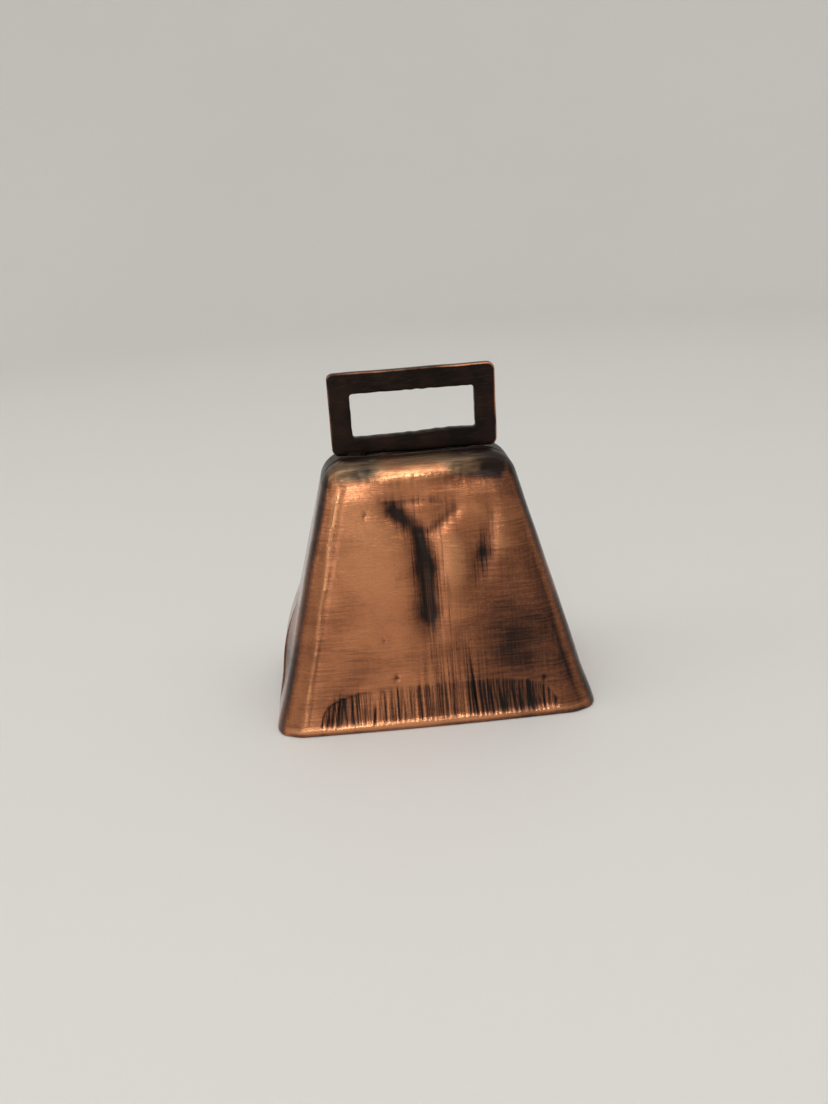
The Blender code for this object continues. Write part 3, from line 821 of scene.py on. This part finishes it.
def copper_material():
    """Antiqued copper plate: brushed level, black in the grain and the hollows, with painted shade and
    painted highlights.
    """
    n = Nodes("antique_copper")
    patina_and_shade, wear, lining, crown, scored, side = (
        n.attribute(name) for name in ("patina_and_shade", "wear", "lining", "crown", "scored", "side")
    )
    clear = n.one_minus(patina_and_shade)
    level_brush = n.noise((0.16, 0.16, 3.2), 5.0, 0.66)
    crown_brush = n.noise((0.20, 3.2, 3.2), 5.0, 0.66)
    brush = n.add(n.times(level_brush, n.one_minus(crown)), n.times(crown_brush, crown))
    hatch = n.noise((3.4, 0.08, 0.065), 3.0, 0.62)
    grit = n.noise((5.0, 5.0, 3.0), 3.0, 0.65)
    cloud = n.noise((0.11, 0.11, 0.14), 4.0, 0.55, 0.6)
    fleck = n.noise((2.4, 2.4, 2.0), 2.0, 0.5)
    cuts = n.times(n.remap(hatch, 0.58, 0.66), scored)

    scored_lines = n.times(n.times(patina_and_shade, clear), n.add(0.06, n.times(scored, 0.40)))
    off_panel = n.math("MINIMUM", n.add(crown, side), 1.0)
    hatch_share = n.times(n.add(0.03, scored_lines, n.times(scored, 0.14)), n.one_minus(off_panel))
    brush_share = n.add(0.15, n.times(scored, -0.08), n.times(side, -0.09), n.times(patina_and_shade, -0.06))
    # Darkness from patina and painted shade, grain and clouds, lifted where the wear attribute puts painted
    # highlights
    dark = n.add(
        patina_and_shade,
        n.times(n.remap(hatch, 0.34, 0.66, -1.0, 1.0), hatch_share),
        n.times(n.remap(brush, 0.34, 0.66, -1.0, 1.0), brush_share),
        n.remap(cloud, 0.40, 0.72, -0.02, 0.17),
        n.times(n.remap(grit, 0.52, 0.72, -0.02, 0.18), n.times(clear, n.one_minus(crown))),
        n.times(wear, -0.55),
        n.times(cuts, 0.42),
    )
    tarnish_and_shade = n.math("SUBTRACT", dark, 0.02)
    # Copper goes towards the highlight colour where wear, mostly painted highlight, is high; brown turns to
    # the painted crown reflection
    bright = n.mix(wear, n.mix(n.remap(cloud, 0.3, 0.7), *COPPER_CLEAN), COPPER_HIGHLIGHT_AND_WEAR)
    brown = n.mix(crown, n.mix(n.remap(fleck, 0.4, 0.7), *COPPER_BROWN), CROWN_PAINTED_REFLECTION)
    colour = n.mix(n.remap(tarnish_and_shade, -0.05, 0.62), bright, brown)
    colour = n.mix(n.remap(tarnish_and_shade, 0.45, 1.05), colour, COPPER_BLACK)
    inside = n.mix(n.remap(cloud, 0.35, 0.65), *LINING)
    inside = n.mix(n.remap(grit, 0.5, 0.7), inside, LINING_SPECK)
    colour = n.mix(n.times(lining, 0.9), colour, inside)

    roughness = n.add(
        0.27,
        n.remap(tarnish_and_shade, 0.2, 1.0, 0.0, 0.30),
        n.remap(brush, 0.3, 0.7, -0.04, 0.06),
        n.times(wear, -0.07),
        n.times(lining, 0.14),
        n.times(side, -0.20),
    )
    level = n.one_minus(n.times(side, 0.75))
    normal = n.bumps(
        (n.times(brush, level), 0.07, 0.9),
        (n.times(hatch, n.add(0.25, n.times(scored, 0.75))), 0.07, 0.8),
        (n.times(grit, level), 0.04, 0.4),
        (fleck, 0.02, 0.3),
        (cuts, -0.06, 1.0),
    )
    n.shader.inputs["Coat Weight"].default_value = COAT_WEIGHT
    n.shader.inputs["Coat Roughness"].default_value = COAT_ROUGHNESS
    return n.finish(colour, roughness, normal)


def blackened_material():
    """Blackened copper plate on the handle, rubbed through to copper along its edges."""
    n = Nodes("blackened_copper")
    streaks = n.noise((0.5, 2.0, 6.0), 4.0, 0.6)
    grit = n.even_noise(5.0)
    cloud = n.even_noise(0.22, 3.0, 0.5)
    black = n.mix(n.remap(cloud, 0.38, 0.66), *HANDLE_BLACK)
    black = n.mix(n.remap(streaks, 0.52, 0.75, 0.0, 0.55), black, HANDLE_STREAK)
    patchy = n.add(n.remap(cloud, 0.35, 0.65, -0.16, 0.12), n.remap(grit, 0.3, 0.7, -0.08, 0.08))
    rubbed = n.remap(n.add(n.attribute("wear"), patchy), 0.25, 0.95)
    roughness = n.add(0.36, n.remap(grit, 0.3, 0.7, -0.05, 0.10), n.times(rubbed, -0.08))
    normal = n.bumps((streaks, 0.03, 0.5), (grit, 0.03, 0.5), (cloud, 0.15, 0.3))
    return n.finish(n.mix(rubbed, black, HANDLE_RUBBED), roughness, normal, 0.9)


def wire_material():
    """Drawn steel wire, dull and lightly oxidised, brighter where pieces rub."""
    n = Nodes("drawn_wire")
    wear = n.attribute("wear")
    cloud = n.even_noise(0.5, 4.0)
    grit = n.even_noise(6.0)
    rust = n.remap(n.add(cloud, n.times(grit, 0.35)), 0.72, 0.86)
    base = n.mix(n.times(rust, 0.7), n.mix(n.remap(cloud, 0.38, 0.66), *WIRE_STEEL), WIRE_RUST)
    roughness = n.add(0.38, n.remap(grit, 0.3, 0.7, -0.05, 0.12), n.times(wear, -0.14))
    normal = n.bumps((grit, 0.03, 0.5), (cloud, 0.08, 0.3))
    return n.finish(n.mix(wear, base, WIRE_RUBBED), roughness, normal)


def ball_material():
    """Turned steel ball: fine rings, dark near its flats and struck bright round its middle."""
    n = Nodes("turned_steel")
    wear = n.attribute("wear")
    rings = n.noise((0.15, 0.15, 9.0), 2.0, 0.5)
    cloud = n.even_noise(0.35, 4.0)
    grit = n.even_noise(4.0)
    rust = n.remap(n.add(cloud, n.times(grit, 0.4)), 0.74, 0.92)
    base = n.mix(rust, n.mix(n.remap(cloud, 0.38, 0.66), *BALL_STEEL), BALL_RUST)
    struck = n.remap(n.add(wear, n.times(grit, 0.3)), 0.25, 0.95)
    roughness = n.add(0.34, n.remap(grit, 0.3, 0.7, -0.04, 0.10), n.times(wear, -0.12))
    normal = n.bumps((rings, 0.03, 0.6), (grit, 0.03, 0.4))
    return n.finish(n.mix(struck, base, BALL_STRUCK), roughness, normal)


def floor_material():
    n = Nodes("pale_floor")
    colour = n.mix(n.even_noise(0.004, 2.0, 0.5), *FLOOR_PALE)
    return n.finish(colour, 0.62, n.bumps((n.even_noise(0.5, 2.0, 0.5), 0.02, 0.2)), 0.0)


# ---------------------------------------------------------------- handle


def rounded_outline(low, high, radius, per_side):
    """Points round a rectangle with rounded corners, per_side to each side, from lower left."""
    (x0, z0), (x1, z1) = np.add(low, radius), np.subtract(high, radius)
    centres = np.array([(x0, z0), (x1, z0), (x1, z1), (x0, z1)])
    points = []
    for k, centre in enumerate(centres):
        angles = np.radians(180 + 90 * k + np.linspace(0, 90, 9))
        arc = centre + radius * np.stack([np.cos(angles), np.sin(angles)], 1)
        next_arc = centres[(k + 1) % 4] + arc[-1] - centre
        points += [arc, np.linspace(arc[-1], next_arc, per_side + 2)[1:-1]]
    return np.concatenate(points)


def in_space(outline):
    """Points (x, z) of an outline as points (x, 0, z)."""
    return np.stack([outline[:, 0], 0 * outline[:, 0], outline[:, 1]], 1)


def handle_outlines(per_side=46):
    """The handle's outer edge and its window, both a little uneven, as points (x, z)."""
    half, top = HANDLE_HIGH[0], HANDLE_HIGH[2]
    outer = rounded_outline((-half, HANDLE_FOOT), (half, top), HANDLE_CORNER, per_side)
    window_low = (-half + HANDLE_BAR, HANDLE_FOOT + HANDLE_FOOT_BAR)
    window_high = (half - HANDLE_BAR, top - HANDLE_BAR)
    window = rounded_outline(window_low, window_high, WINDOW_CORNER, per_side)

    sill = smooth(1.6, 0.0, window[:, 1] - window_low[1])
    arch = 0.34 * bell_curve(window[:, 0] - 5.6, 4.6) - 0.10 * bell_curve(window[:, 0] + 7.5, 2.5)
    window[:, 1] += sill * arch
    flat = in_space(window)
    window += 0.035 * np.stack([ripple(flat, 1.6, 51), ripple(flat, 1.3, 52)], 1)
    flat = in_space(outer)
    outer[:, 1] -= 0.05 * smooth(top - 0.5, top - 0.1, outer[:, 1]) * (1 + ripple(flat, 6.0, 53))
    ends = smooth(half - 0.5, half - 0.1, np.abs(outer[:, 0]))
    outer[:, 0] -= np.sign(outer[:, 0]) * ends * 0.04 * (1 + ripple(flat, 5.0, 54))
    return outer, window


def handle_section():
    """The bar's section, round its four edges and across its faces: (side, inset, y, wear).

    side is 1 at the outer edge and 0 at the window. wear is 0 on the faces.
    """
    half_sheet = HANDLE_SHEET / 2
    arc = np.radians(np.linspace(0, 90, 6))
    across_face = np.linspace(0, 1, 7)[1:-1]
    section = []
    for side, depth in ((1, -1), (0, -1), (0, 1), (1, 1)):
        onto_face = (side, depth) in ((1, -1), (0, 1))
        for angle in arc if onto_face else arc[::-1]:
            y = depth * (half_sheet - HANDLE_EDGE * (1 - math.sin(angle)))
            inset = HANDLE_EDGE * (1 - math.cos(angle))
            section.append((side, inset, y, 0.12 + 0.88 * math.sin(2 * angle)))
        if onto_face:
            for step in across_face if side == 0 else 1 - across_face:
                section.append((step, 0.0, depth * half_sheet, 0.0))
    return section


def handle_rubbing(points):
    """How much of the edges' wear shows: most along the top and at the right."""
    half, top = HANDLE_HIGH[0], HANDLE_HIGH[2]
    x, z = points[:, 0], points[:, 2]
    rubbing = smooth(top - 1.2, top - 0.1, z) * (0.55 + 0.45 * smooth(2, 10, x))
    rubbing += 0.7 * smooth(half - 1.0, half - 0.2, x) + 0.45 * smooth(-half + 1.0, -half + 0.2, x)
    rubbing += 0.25 * smooth(HANDLE_FOOT + 1.0, HANDLE_FOOT, z)
    return np.clip(rubbing, 0, 1)


def build_handle():
    """The stamped loop with its two clinched tabs, edges rolled by the punch."""
    outer, window = handle_outlines()
    section = handle_section()
    length = np.linalg.norm(outer - window, axis=1, keepdims=True)
    along = (outer - window) / length
    rings, wears = [], []
    for side, inset, y, edge_wear in section:
        if not edge_wear:
            base = window + along * (HANDLE_EDGE + side * (length - 2 * HANDLE_EDGE))
        elif side == 1:
            base = outer - along * inset
        else:
            base = window + along * inset
        rings.append(in_space(base) + (0, y, 0))
        wears.append(np.full(len(base), edge_wear if side == 1 else 0.4 * edge_wear))
    quads = grid_quads(len(section), len(outer), wrap_rows=True, wrap_columns=True)
    points = np.concatenate(rings)
    points[:, 1] += np.clip(0.05 * ripple(points * (1, 0, 1), 15.0, 55), -0.06, 0.06)
    wear = np.concatenate(wears) * handle_rubbing(points)
    points, faces, wear = join_parts([(points, quads.tolist(), wear), tab_mesh(1), tab_mesh(-1)])
    return make_mesh("stamped_handle", points, faces, {"wear": wear})


def tab_section(half_width, half_depth, radius):
    """A rounded rectangle as points (across, through)."""
    points = []
    for sign_x, sign_y, start in ((1, 1, 0), (-1, 1, 90), (-1, -1, 180), (1, -1, 270)):
        for angle in np.radians(start + np.linspace(0, 90, 5)):
            x = sign_x * (half_width - radius) + radius * math.cos(angle)
            points.append((x, sign_y * (half_depth - radius) + radius * math.sin(angle)))
    return np.array(points)


def tab_mesh(sign):
    """A tab down through the crown and clinched over towards sign * Y: points, faces, wear."""
    half = HANDLE_SHEET / 2 - TAB_TRIM
    radius = TAB_BEND_RADIUS + half
    middle_y = half + TAB_TRIM + TAB_BEND_RADIUS
    middle_z = TAB_LEG_TOP + TAB_BEND_RADIUS
    path = [(0.0, z) for z in np.linspace(HANDLE_FOOT + 0.5, middle_z, 10)]
    path += arc_profile((middle_y, middle_z), radius, 180, 270, 12)[1:]
    path += [(y, middle_z - radius) for y in np.linspace(middle_y, TAB_REACH - TAB_TRIM, 8)[1:]]
    path = np.array(path)
    tangent = unit(np.gradient(path, axis=0))
    section = tab_section(TAB_WIDTH / 2 - TAB_TRIM, half, TAB_CORNER)
    rings = []
    for k, (place, (ahead_y, ahead_z)) in enumerate(zip(path, tangent)):
        across, through = (section * (1.0 if k < len(path) - 1 else 0.86)).T
        y, z = place[0] + ahead_z * through, place[1] - ahead_y * through
        rings.append(np.stack([across - sign * SLOT_CENTRE, sign * y, z], 1))
    points = np.concatenate(rings + [[rings[0].mean(0)], [rings[-1].mean(0)]])
    first, last = len(points) - 2, len(points) - 1

    count = len(section)
    last_ring = (len(path) - 1) * count
    quads = grid_quads(len(path), count, wrap_columns=True)
    faces = (quads[:, ::-1] if sign > 0 else quads).tolist()
    for m in range(0, count, 2):
        a, b, c = m, m + 1, (m + 2) % count
        caps = [(first, c, b, a), (a + last_ring, b + last_ring, c + last_ring, last)]
        faces += [cap[::-1] for cap in caps] if sign > 0 else caps
    return points, faces, np.full(len(points), 0.35)


# ---------------------------------------------------------------- wires and ball


def resample(path, step, closed=False):
    """The same line with points about step apart, and their distances along it."""
    path = np.asarray(path, float)
    if closed:
        path = np.concatenate([path, path[:1]])
    lengths = np.concatenate([[0], np.cumsum(np.linalg.norm(np.diff(path, axis=0), axis=1))])
    wanted = np.linspace(0, lengths[-1], int(round(lengths[-1] / step)) + 1)
    if closed:
        wanted = wanted[:-1]
    return np.stack([np.interp(wanted, lengths, path[:, k]) for k in range(3)], 1), wanted


def sweep(path, radii, sides=28, closed=False):
    """A round wire along a path, with a radius for each point: points and faces."""
    path = np.asarray(path, float)
    if closed:
        tangent = unit(np.roll(path, -1, 0) - np.roll(path, 1, 0))
    else:
        tangent = unit(np.gradient(path, axis=0))
    seed = np.array([0.0, 1.0, 0.0]) if abs(tangent[0][1]) < 0.8 else np.array([1.0, 0.0, 0.0])
    normal = unit(seed - tangent[0] * (seed @ tangent[0]))
    normals = [normal]
    for ahead in tangent[1:]:
        normal = unit(normal - ahead * (normal @ ahead))
        normals.append(normal)
    normals = np.array(normals)
    angles = np.linspace(0, 2 * math.pi, sides, endpoint=False)
    ring = np.cos(angles)[None, :, None] * normals[:, None, :]
    ring = ring + np.sin(angles)[None, :, None] * np.cross(tangent, normals)[:, None, :]
    points = (path[:, None, :] + ring * np.asarray(radii)[:, None, None]).reshape(-1, 3)
    faces = grid_quads(len(path), sides, wrap_rows=closed, wrap_columns=True).tolist()
    if not closed:
        points = np.concatenate([points, path[:1], path[-1:]])
        last_ring, first, last = (len(path) - 1) * sides, len(points) - 2, len(points) - 1
        for m in range(sides):
            following = (m + 1) % sides
            faces += [(first, following, m), (last, last_ring + m, last_ring + following)]
    return points, faces


def cut_ends(arc_length, radius, rounding=0.28):
    """Radii that round a wire's two cut ends."""
    ends = np.minimum(arc_length, arc_length[-1] - arc_length)
    inside = np.clip(rounding - ends, 0, rounding)
    return radius - rounding + np.sqrt(np.clip(rounding**2 - inside**2, 0, None))


def rounded_corners(points, radius, steps=10):
    """A path through the points with an arc of the given radius at each inner one."""
    points = [Vector(p) for p in points]
    path = [points[0]]
    for before, corner, after in zip(points, points[1:], points[2:]):
        back = (before - corner).normalized()
        ahead = (after - corner).normalized()
        half = back.angle(ahead) / 2
        start = corner + back * radius / math.tan(half)
        centre = corner + (back + ahead).normalized() * radius / math.sin(half)
        axis = (start - centre).cross(ahead)
        turn = math.pi - 2 * half
        for i in range(steps + 1):
            path.append(centre + Matrix.Rotation(turn * i / steps, 3, axis) @ (start - centre))
    return np.array([tuple(p) for p in path + [points[-1]]])


def build_hanger():
    """The wire under the crown: two legs held by the tabs, and a drop that carries the link."""
    height = HANGER_HIGH[2] - HANGER_WIRE / 2
    pivot = PIVOTS["link_swing"][2]
    half_path = [
        (HANGER_LOW[0], HANGER_LEG_Y, height),
        (-SLOT_CENTRE + TAB_WIDTH, HANGER_LEG_Y, height),
        (-3.1, 0, height),
        (-1.7, 0, pivot),
    ]
    other = [(-x, -y, z) for x, y, z in reversed(half_path)]
    path, along = resample(rounded_corners(half_path + other, HANGER_BEND), 0.14)
    nip = bell_curve(np.abs(path[:, 0]) - SLOT_CENTRE, 1.1)
    radii = cut_ends(along, HANGER_WIRE / 2) * (1 - 0.03 * nip) - 0.012 * (1 + ripple(path, 1.8, 61))
    points, faces = sweep(path, radii)
    from_middle, z = np.abs(points[:, 0]), points[:, 2]
    saddle = smooth(1.9, 0.5, from_middle) * smooth(pivot + 1.4, pivot + 0.3, z)
    wear = 0.9 * saddle * smooth(pivot - 0.3, pivot + 0.5, z)
    wear = wear + 0.4 * bell_curve(from_middle - HANGER_HIGH[0], 0.35)
    return make_mesh("hanger_wire", points, faces, {"wear": wear})


def build_link():
    """An oval link bent from wire, its butted ends showing as a fine seam on one side."""
    radius = (LINK_HIGH[1] - LINK_LOW[1] - LINK_WIRE) / 2
    top = LINK_HIGH[2] - LINK_WIRE / 2 - radius
    bottom = LINK_LOW[2] + LINK_WIRE / 2 + radius
    angles = np.radians(np.linspace(0, 180, 40))
    oval = [(0, radius * math.cos(a), top + radius * math.sin(a)) for a in angles]
    oval += [(0, -radius * math.cos(a), bottom - radius * math.sin(a)) for a in angles]
    path, _ = resample(oval, 0.075, closed=True)
    from_seam = path[:, 2] - (top + bottom) / 2 - 0.25
    on_front = path[:, 1] < 0
    seam = bell_curve(from_seam, 0.1) * on_front
    pinch = bell_curve(np.abs(from_seam) - 0.75, 0.3) * on_front
    radii = LINK_WIRE / 2 - 0.16 * seam - 0.02 * pinch - 0.01 * (1 + ripple(path, 1.5, 62))
    points, faces = sweep(path, radii, closed=True)
    z = points[:, 2]
    at_ends = smooth(top + 0.9, top + 1.3, z) + smooth(bottom - 0.9, bottom - 1.3, z)
    wear = 0.85 * np.clip(at_ends * smooth(1.8, 0.9, np.abs(points[:, 1])), 0, 1)
    return make_mesh("oval_link", points, faces, {"wear": wear})


def revolve(profile, steps, closed=True):
    """A profile of (radius, height) points turned about the z axis: points and quads."""
    radius, height = np.asarray(profile, float).T[:, :, None]
    angles = np.linspace(0, 2 * math.pi, steps, endpoint=False)
    points = np.stack([radius * np.cos(angles), radius * np.sin(angles), height + 0 * angles], -1)
    return points.reshape(-1, 3), grid_quads(len(profile), steps, wrap_rows=closed, wrap_columns=True)


def arc_profile(centre, radius, start_deg, end_deg, steps):
    angles = np.radians(np.linspace(start_deg, end_deg, steps + 1))
    return [(centre[0] + radius * math.cos(a), centre[1] + radius * math.sin(a)) for a in angles]


def stem_wire():
    """The eye round the link and the straight shank below it."""
    eye_z = STEM_HIGH[2] - STEM_WIRE / 2 - EYE_RADIUS
    throat_drop = math.sqrt(EYE_RADIUS**2 + 2 * EYE_RADIUS * THROAT_RADIUS)
    meet = math.degrees(math.atan2(throat_drop, -THROAT_RADIUS))
    outline = [(0.0, STEM_LOW[2] + 0.3)]
    outline += arc_profile((THROAT_RADIUS, eye_z - throat_drop), THROAT_RADIUS, 180, meet, 16)
    outline += arc_profile((0, eye_z), EYE_RADIUS, meet - 180, 230, 70)[1:]
    path, along = resample([(x, 0, z) for x, z in outline], 0.09)
    radii = cut_ends(along, STEM_WIRE / 2, 0.2) - 0.01 * (1 + ripple(path, 1.6, 63))
    points, faces = sweep(path, radii)
    reach = np.hypot(points[:, 0], points[:, 2] - eye_z)
    inside_eye = smooth(EYE_RADIUS - 0.1, EYE_RADIUS - 0.6, reach)
    return points, faces, 0.75 * inside_eye * smooth(eye_z + 0.3, eye_z + 1.0, points[:, 2])


def stem_head(profile, seed):
    """A collar or peened head turned from its profile, a little out of round."""
    points, quads = revolve(profile, 48)
    points[:, :2] *= (1 + 0.025 * ripple(points, 1.4, seed))[:, None]
    return points, quads.tolist(), np.full(len(points), 0.45)


def build_stem():
    """A wire eye round the link, a straight shank, a rolled collar and a peened foot."""
    low = BALL_HIGH[2] + BALL_PLAY
    edge_at = COLLAR_RADIUS - COLLAR_EDGE
    collar = [(STEM_WIRE / 4, low)]
    collar += arc_profile((edge_at, low + COLLAR_EDGE), COLLAR_EDGE, -90, 0, 5)
    collar += arc_profile((edge_at, low + COLLAR_HEIGHT - COLLAR_EDGE), COLLAR_EDGE, 0, 90, 5)
    collar += [(STEM_WIRE / 4, low + COLLAR_HEIGHT)]
    high = BALL_LOW[2] - BALL_PLAY
    dome = PEEN_DOME / (1 - math.cos(math.radians(PEEN_SWEEP_DEG)))
    peen = [(0.3, STEM_LOW[2])]
    for a in np.radians(np.linspace(14, PEEN_SWEEP_DEG, 12)):
        peen.append((PEEN_RADIUS * math.sin(a), STEM_LOW[2] + dome * (1 - math.cos(a))))
    peen += arc_profile((PEEN_RADIUS - PEEN_EDGE, high - PEEN_EDGE), PEEN_EDGE, 20, 90, 4)
    peen += [(STEM_WIRE / 4, high)]
    points, faces, wear = join_parts([stem_wire(), stem_head(collar, 64), stem_head(peen, 65)])
    return make_mesh("eye_stem", points, faces, {"wear": wear})


def ball_profile(radius, half):
    """Half section of the ball, with flats at its ends and a chamfered bore."""
    flat_deg = math.degrees(math.asin(half / radius)) - 1.2
    flat = radius * math.cos(math.radians(flat_deg)) - 0.12
    end = [(BORE_RADIUS, half - BORE_CHAMFER), (BORE_RADIUS + BORE_CHAMFER, half)]
    end += [(flat - 0.35, half), (flat, half - 0.01)]
    outside = arc_profile((0, 0), radius, flat_deg, -flat_deg, 72)
    return end + outside + [(r, -z) for r, z in reversed(end)]


def build_ball(dents=46):
    """The turned ball, with dents from striking the bell, most of them round its middle."""
    radius = (BALL_HIGH[0] - BALL_LOW[0]) / 2
    half = (BALL_HIGH[2] - BALL_LOW[2]) / 2
    points, faces = revolve(ball_profile(radius, half)[::-1], 128)
    out = unit(points)
    rng = np.random.RandomState(71)
    dent = np.zeros(len(points))
    wear = 0.75 * smooth(3.2, 0.6, np.abs(points[:, 2]))
    for _ in range(dents):
        turn = rng.uniform(0, 2 * math.pi)
        lift = rng.normal(0, 0.28)
        spot = (math.cos(turn) * math.cos(lift), math.sin(turn) * math.cos(lift), math.sin(lift))
        size = rng.uniform(0.25, 0.7)
        away = np.linalg.norm(out - spot, axis=1) * radius
        dent += rng.uniform(0.015, 0.05) * bell_curve(away, size)
        wear += 0.3 * bell_curve(away, size * 1.1)
    on_sphere = np.abs(np.linalg.norm(points, axis=1) - radius) < 0.05
    points = points - out * (dent * on_sphere)[:, None]
    points = points + (0, 0, (BALL_HIGH[2] + BALL_LOW[2]) / 2)
    return make_mesh("turned_ball", points, faces.tolist(), {"wear": np.clip(wear, 0, 1)})


# ---------------------------------------------------------------- stage, lights and camera


FLOOR_RADII = (0.5, 120.0, 260.0, 380.0, 480.0)
FLOOR_SWEEP = 440.0
WALL_TOP = 1000.0

WARM, NEAR_WHITE, WHITE = (1.0, 0.97, 0.93), (1.0, 0.98, 0.95), (1.0, 0.99, 0.97)
SKY_COLOUR, SKY_STRENGTH = (0.93, 0.95, 1.0, 1), 0.20
BELL_MIDDLE = (0, 0, 20)

# Area lights: name, place, target, size, power in watts, colour
LIGHTS = (
    ("front_panel", (-230, -600, 180), BELL_MIDDLE, (340, 260), 0.30, WARM),
    ("key", (-70, -430, 450), BELL_MIDDLE, (260, 80), 0.80, NEAR_WHITE),
    ("overhead", (0, 60, 900), (0, 60, 0), (1400, 1300), 4.4, WHITE),
    ("left_fill", (-640, -60, 400), BELL_MIDDLE, (400, 260), 0.50, WHITE),
    ("wall_wash", (0, -200, 700), (0, 600, 250), (1200, 200), 1.6, WHITE),
)

CAMERA_PLACE = (-9.7, -152.1, 77.9)
CAMERA_YAW_DEG = 3.18
CAMERA_PITCH_DEG = -19.86
CAMERA_ROLL_DEG = 3.86
CAMERA_LENS = 32.61
CAMERA_SENSOR = 36.0


def build_stage(material, steps=128):
    """A pale round floor that sweeps up all round into a wall, open at the top."""
    edge = FLOOR_RADII[-1]
    profile = [(radius, 0.0) for radius in FLOOR_RADII]
    profile += arc_profile((edge, FLOOR_SWEEP), FLOOR_SWEEP, -90, 0, 32)
    profile.append((edge + FLOOR_SWEEP, WALL_TOP))
    points, quads = revolve(profile, steps, closed=False)
    floor = make_mesh("floor", points, [tuple(range(steps))] + quads[:, [0, 3, 2, 1]].tolist())
    floor.data.materials.append(material)


def add_area_light(name, place, target, size, power, colour):
    light = bpy.data.lights.new(name, "AREA")
    light.shape = "RECTANGLE"
    light.size, light.size_y = size[0] * MM, size[1] * MM
    light.energy = power
    light.color = colour
    lamp = bpy.data.objects.new(name, light)
    bpy.context.scene.collection.objects.link(lamp)
    lamp.visible_camera = False
    lamp.location = Vector(place) * MM
    lamp.rotation_euler = (Vector(target) - Vector(place)).to_track_quat("-Z", "Y").to_euler()


def build_lights():
    for settings in LIGHTS:
        add_area_light(*settings)
    world = bpy.data.worlds.new("studio")
    bpy.context.scene.world = world
    world.use_nodes = True
    background = world.node_tree.nodes["Background"]
    background.inputs["Color"].default_value = SKY_COLOUR
    background.inputs["Strength"].default_value = SKY_STRENGTH


def build_camera():
    """The photograph's camera: yaw is to the right of +Y, and roll leans its right side down."""
    yaw, pitch, roll = map(math.radians, (CAMERA_YAW_DEG, CAMERA_PITCH_DEG, CAMERA_ROLL_DEG))
    ahead = Vector((math.sin(yaw) * math.cos(pitch), math.cos(yaw) * math.cos(pitch), math.sin(pitch)))
    level = Vector((math.cos(yaw), -math.sin(yaw), 0))
    down = ahead.cross(level)
    right = math.cos(roll) * level + math.sin(roll) * down
    below = -math.sin(roll) * level + math.cos(roll) * down
    turn = Matrix((right, -below, -ahead)).transposed().to_4x4()
    data = bpy.data.cameras.new("photo_camera")
    data.sensor_width = CAMERA_SENSOR
    data.lens = CAMERA_LENS
    data.clip_start = 0.005
    data.clip_end = 20.0
    camera = bpy.data.objects.new("photo_camera", data)
    bpy.context.scene.collection.objects.link(camera)
    camera.matrix_world = Matrix.Translation(Vector(CAMERA_PLACE) * MM) @ turn
    bpy.context.scene.camera = camera


# ---------------------------------------------------------------- the scene


def build_object():
    copper = copper_material()
    wire = wire_material()
    settle(build_shell("front_shell", False), "bell", "bell_front_shell", copper)
    settle(build_shell("rear_shell", True), "bell", "bell_rear_shell", copper)
    settle(build_handle(), "bell", "handle", blackened_material())
    settle(build_hanger(), "bell", "clapper_hanger", wire)
    settle(build_link(), "link", "clapper_link", wire)
    settle(build_stem(), "clapper", "clapper_stem", wire)
    settle(build_ball(), "clapper", "clapper_ball", ball_material())


bpy.context.scene.view_settings.view_transform = "Standard"
build_object()
build_stage(floor_material())
build_lights()
build_camera()
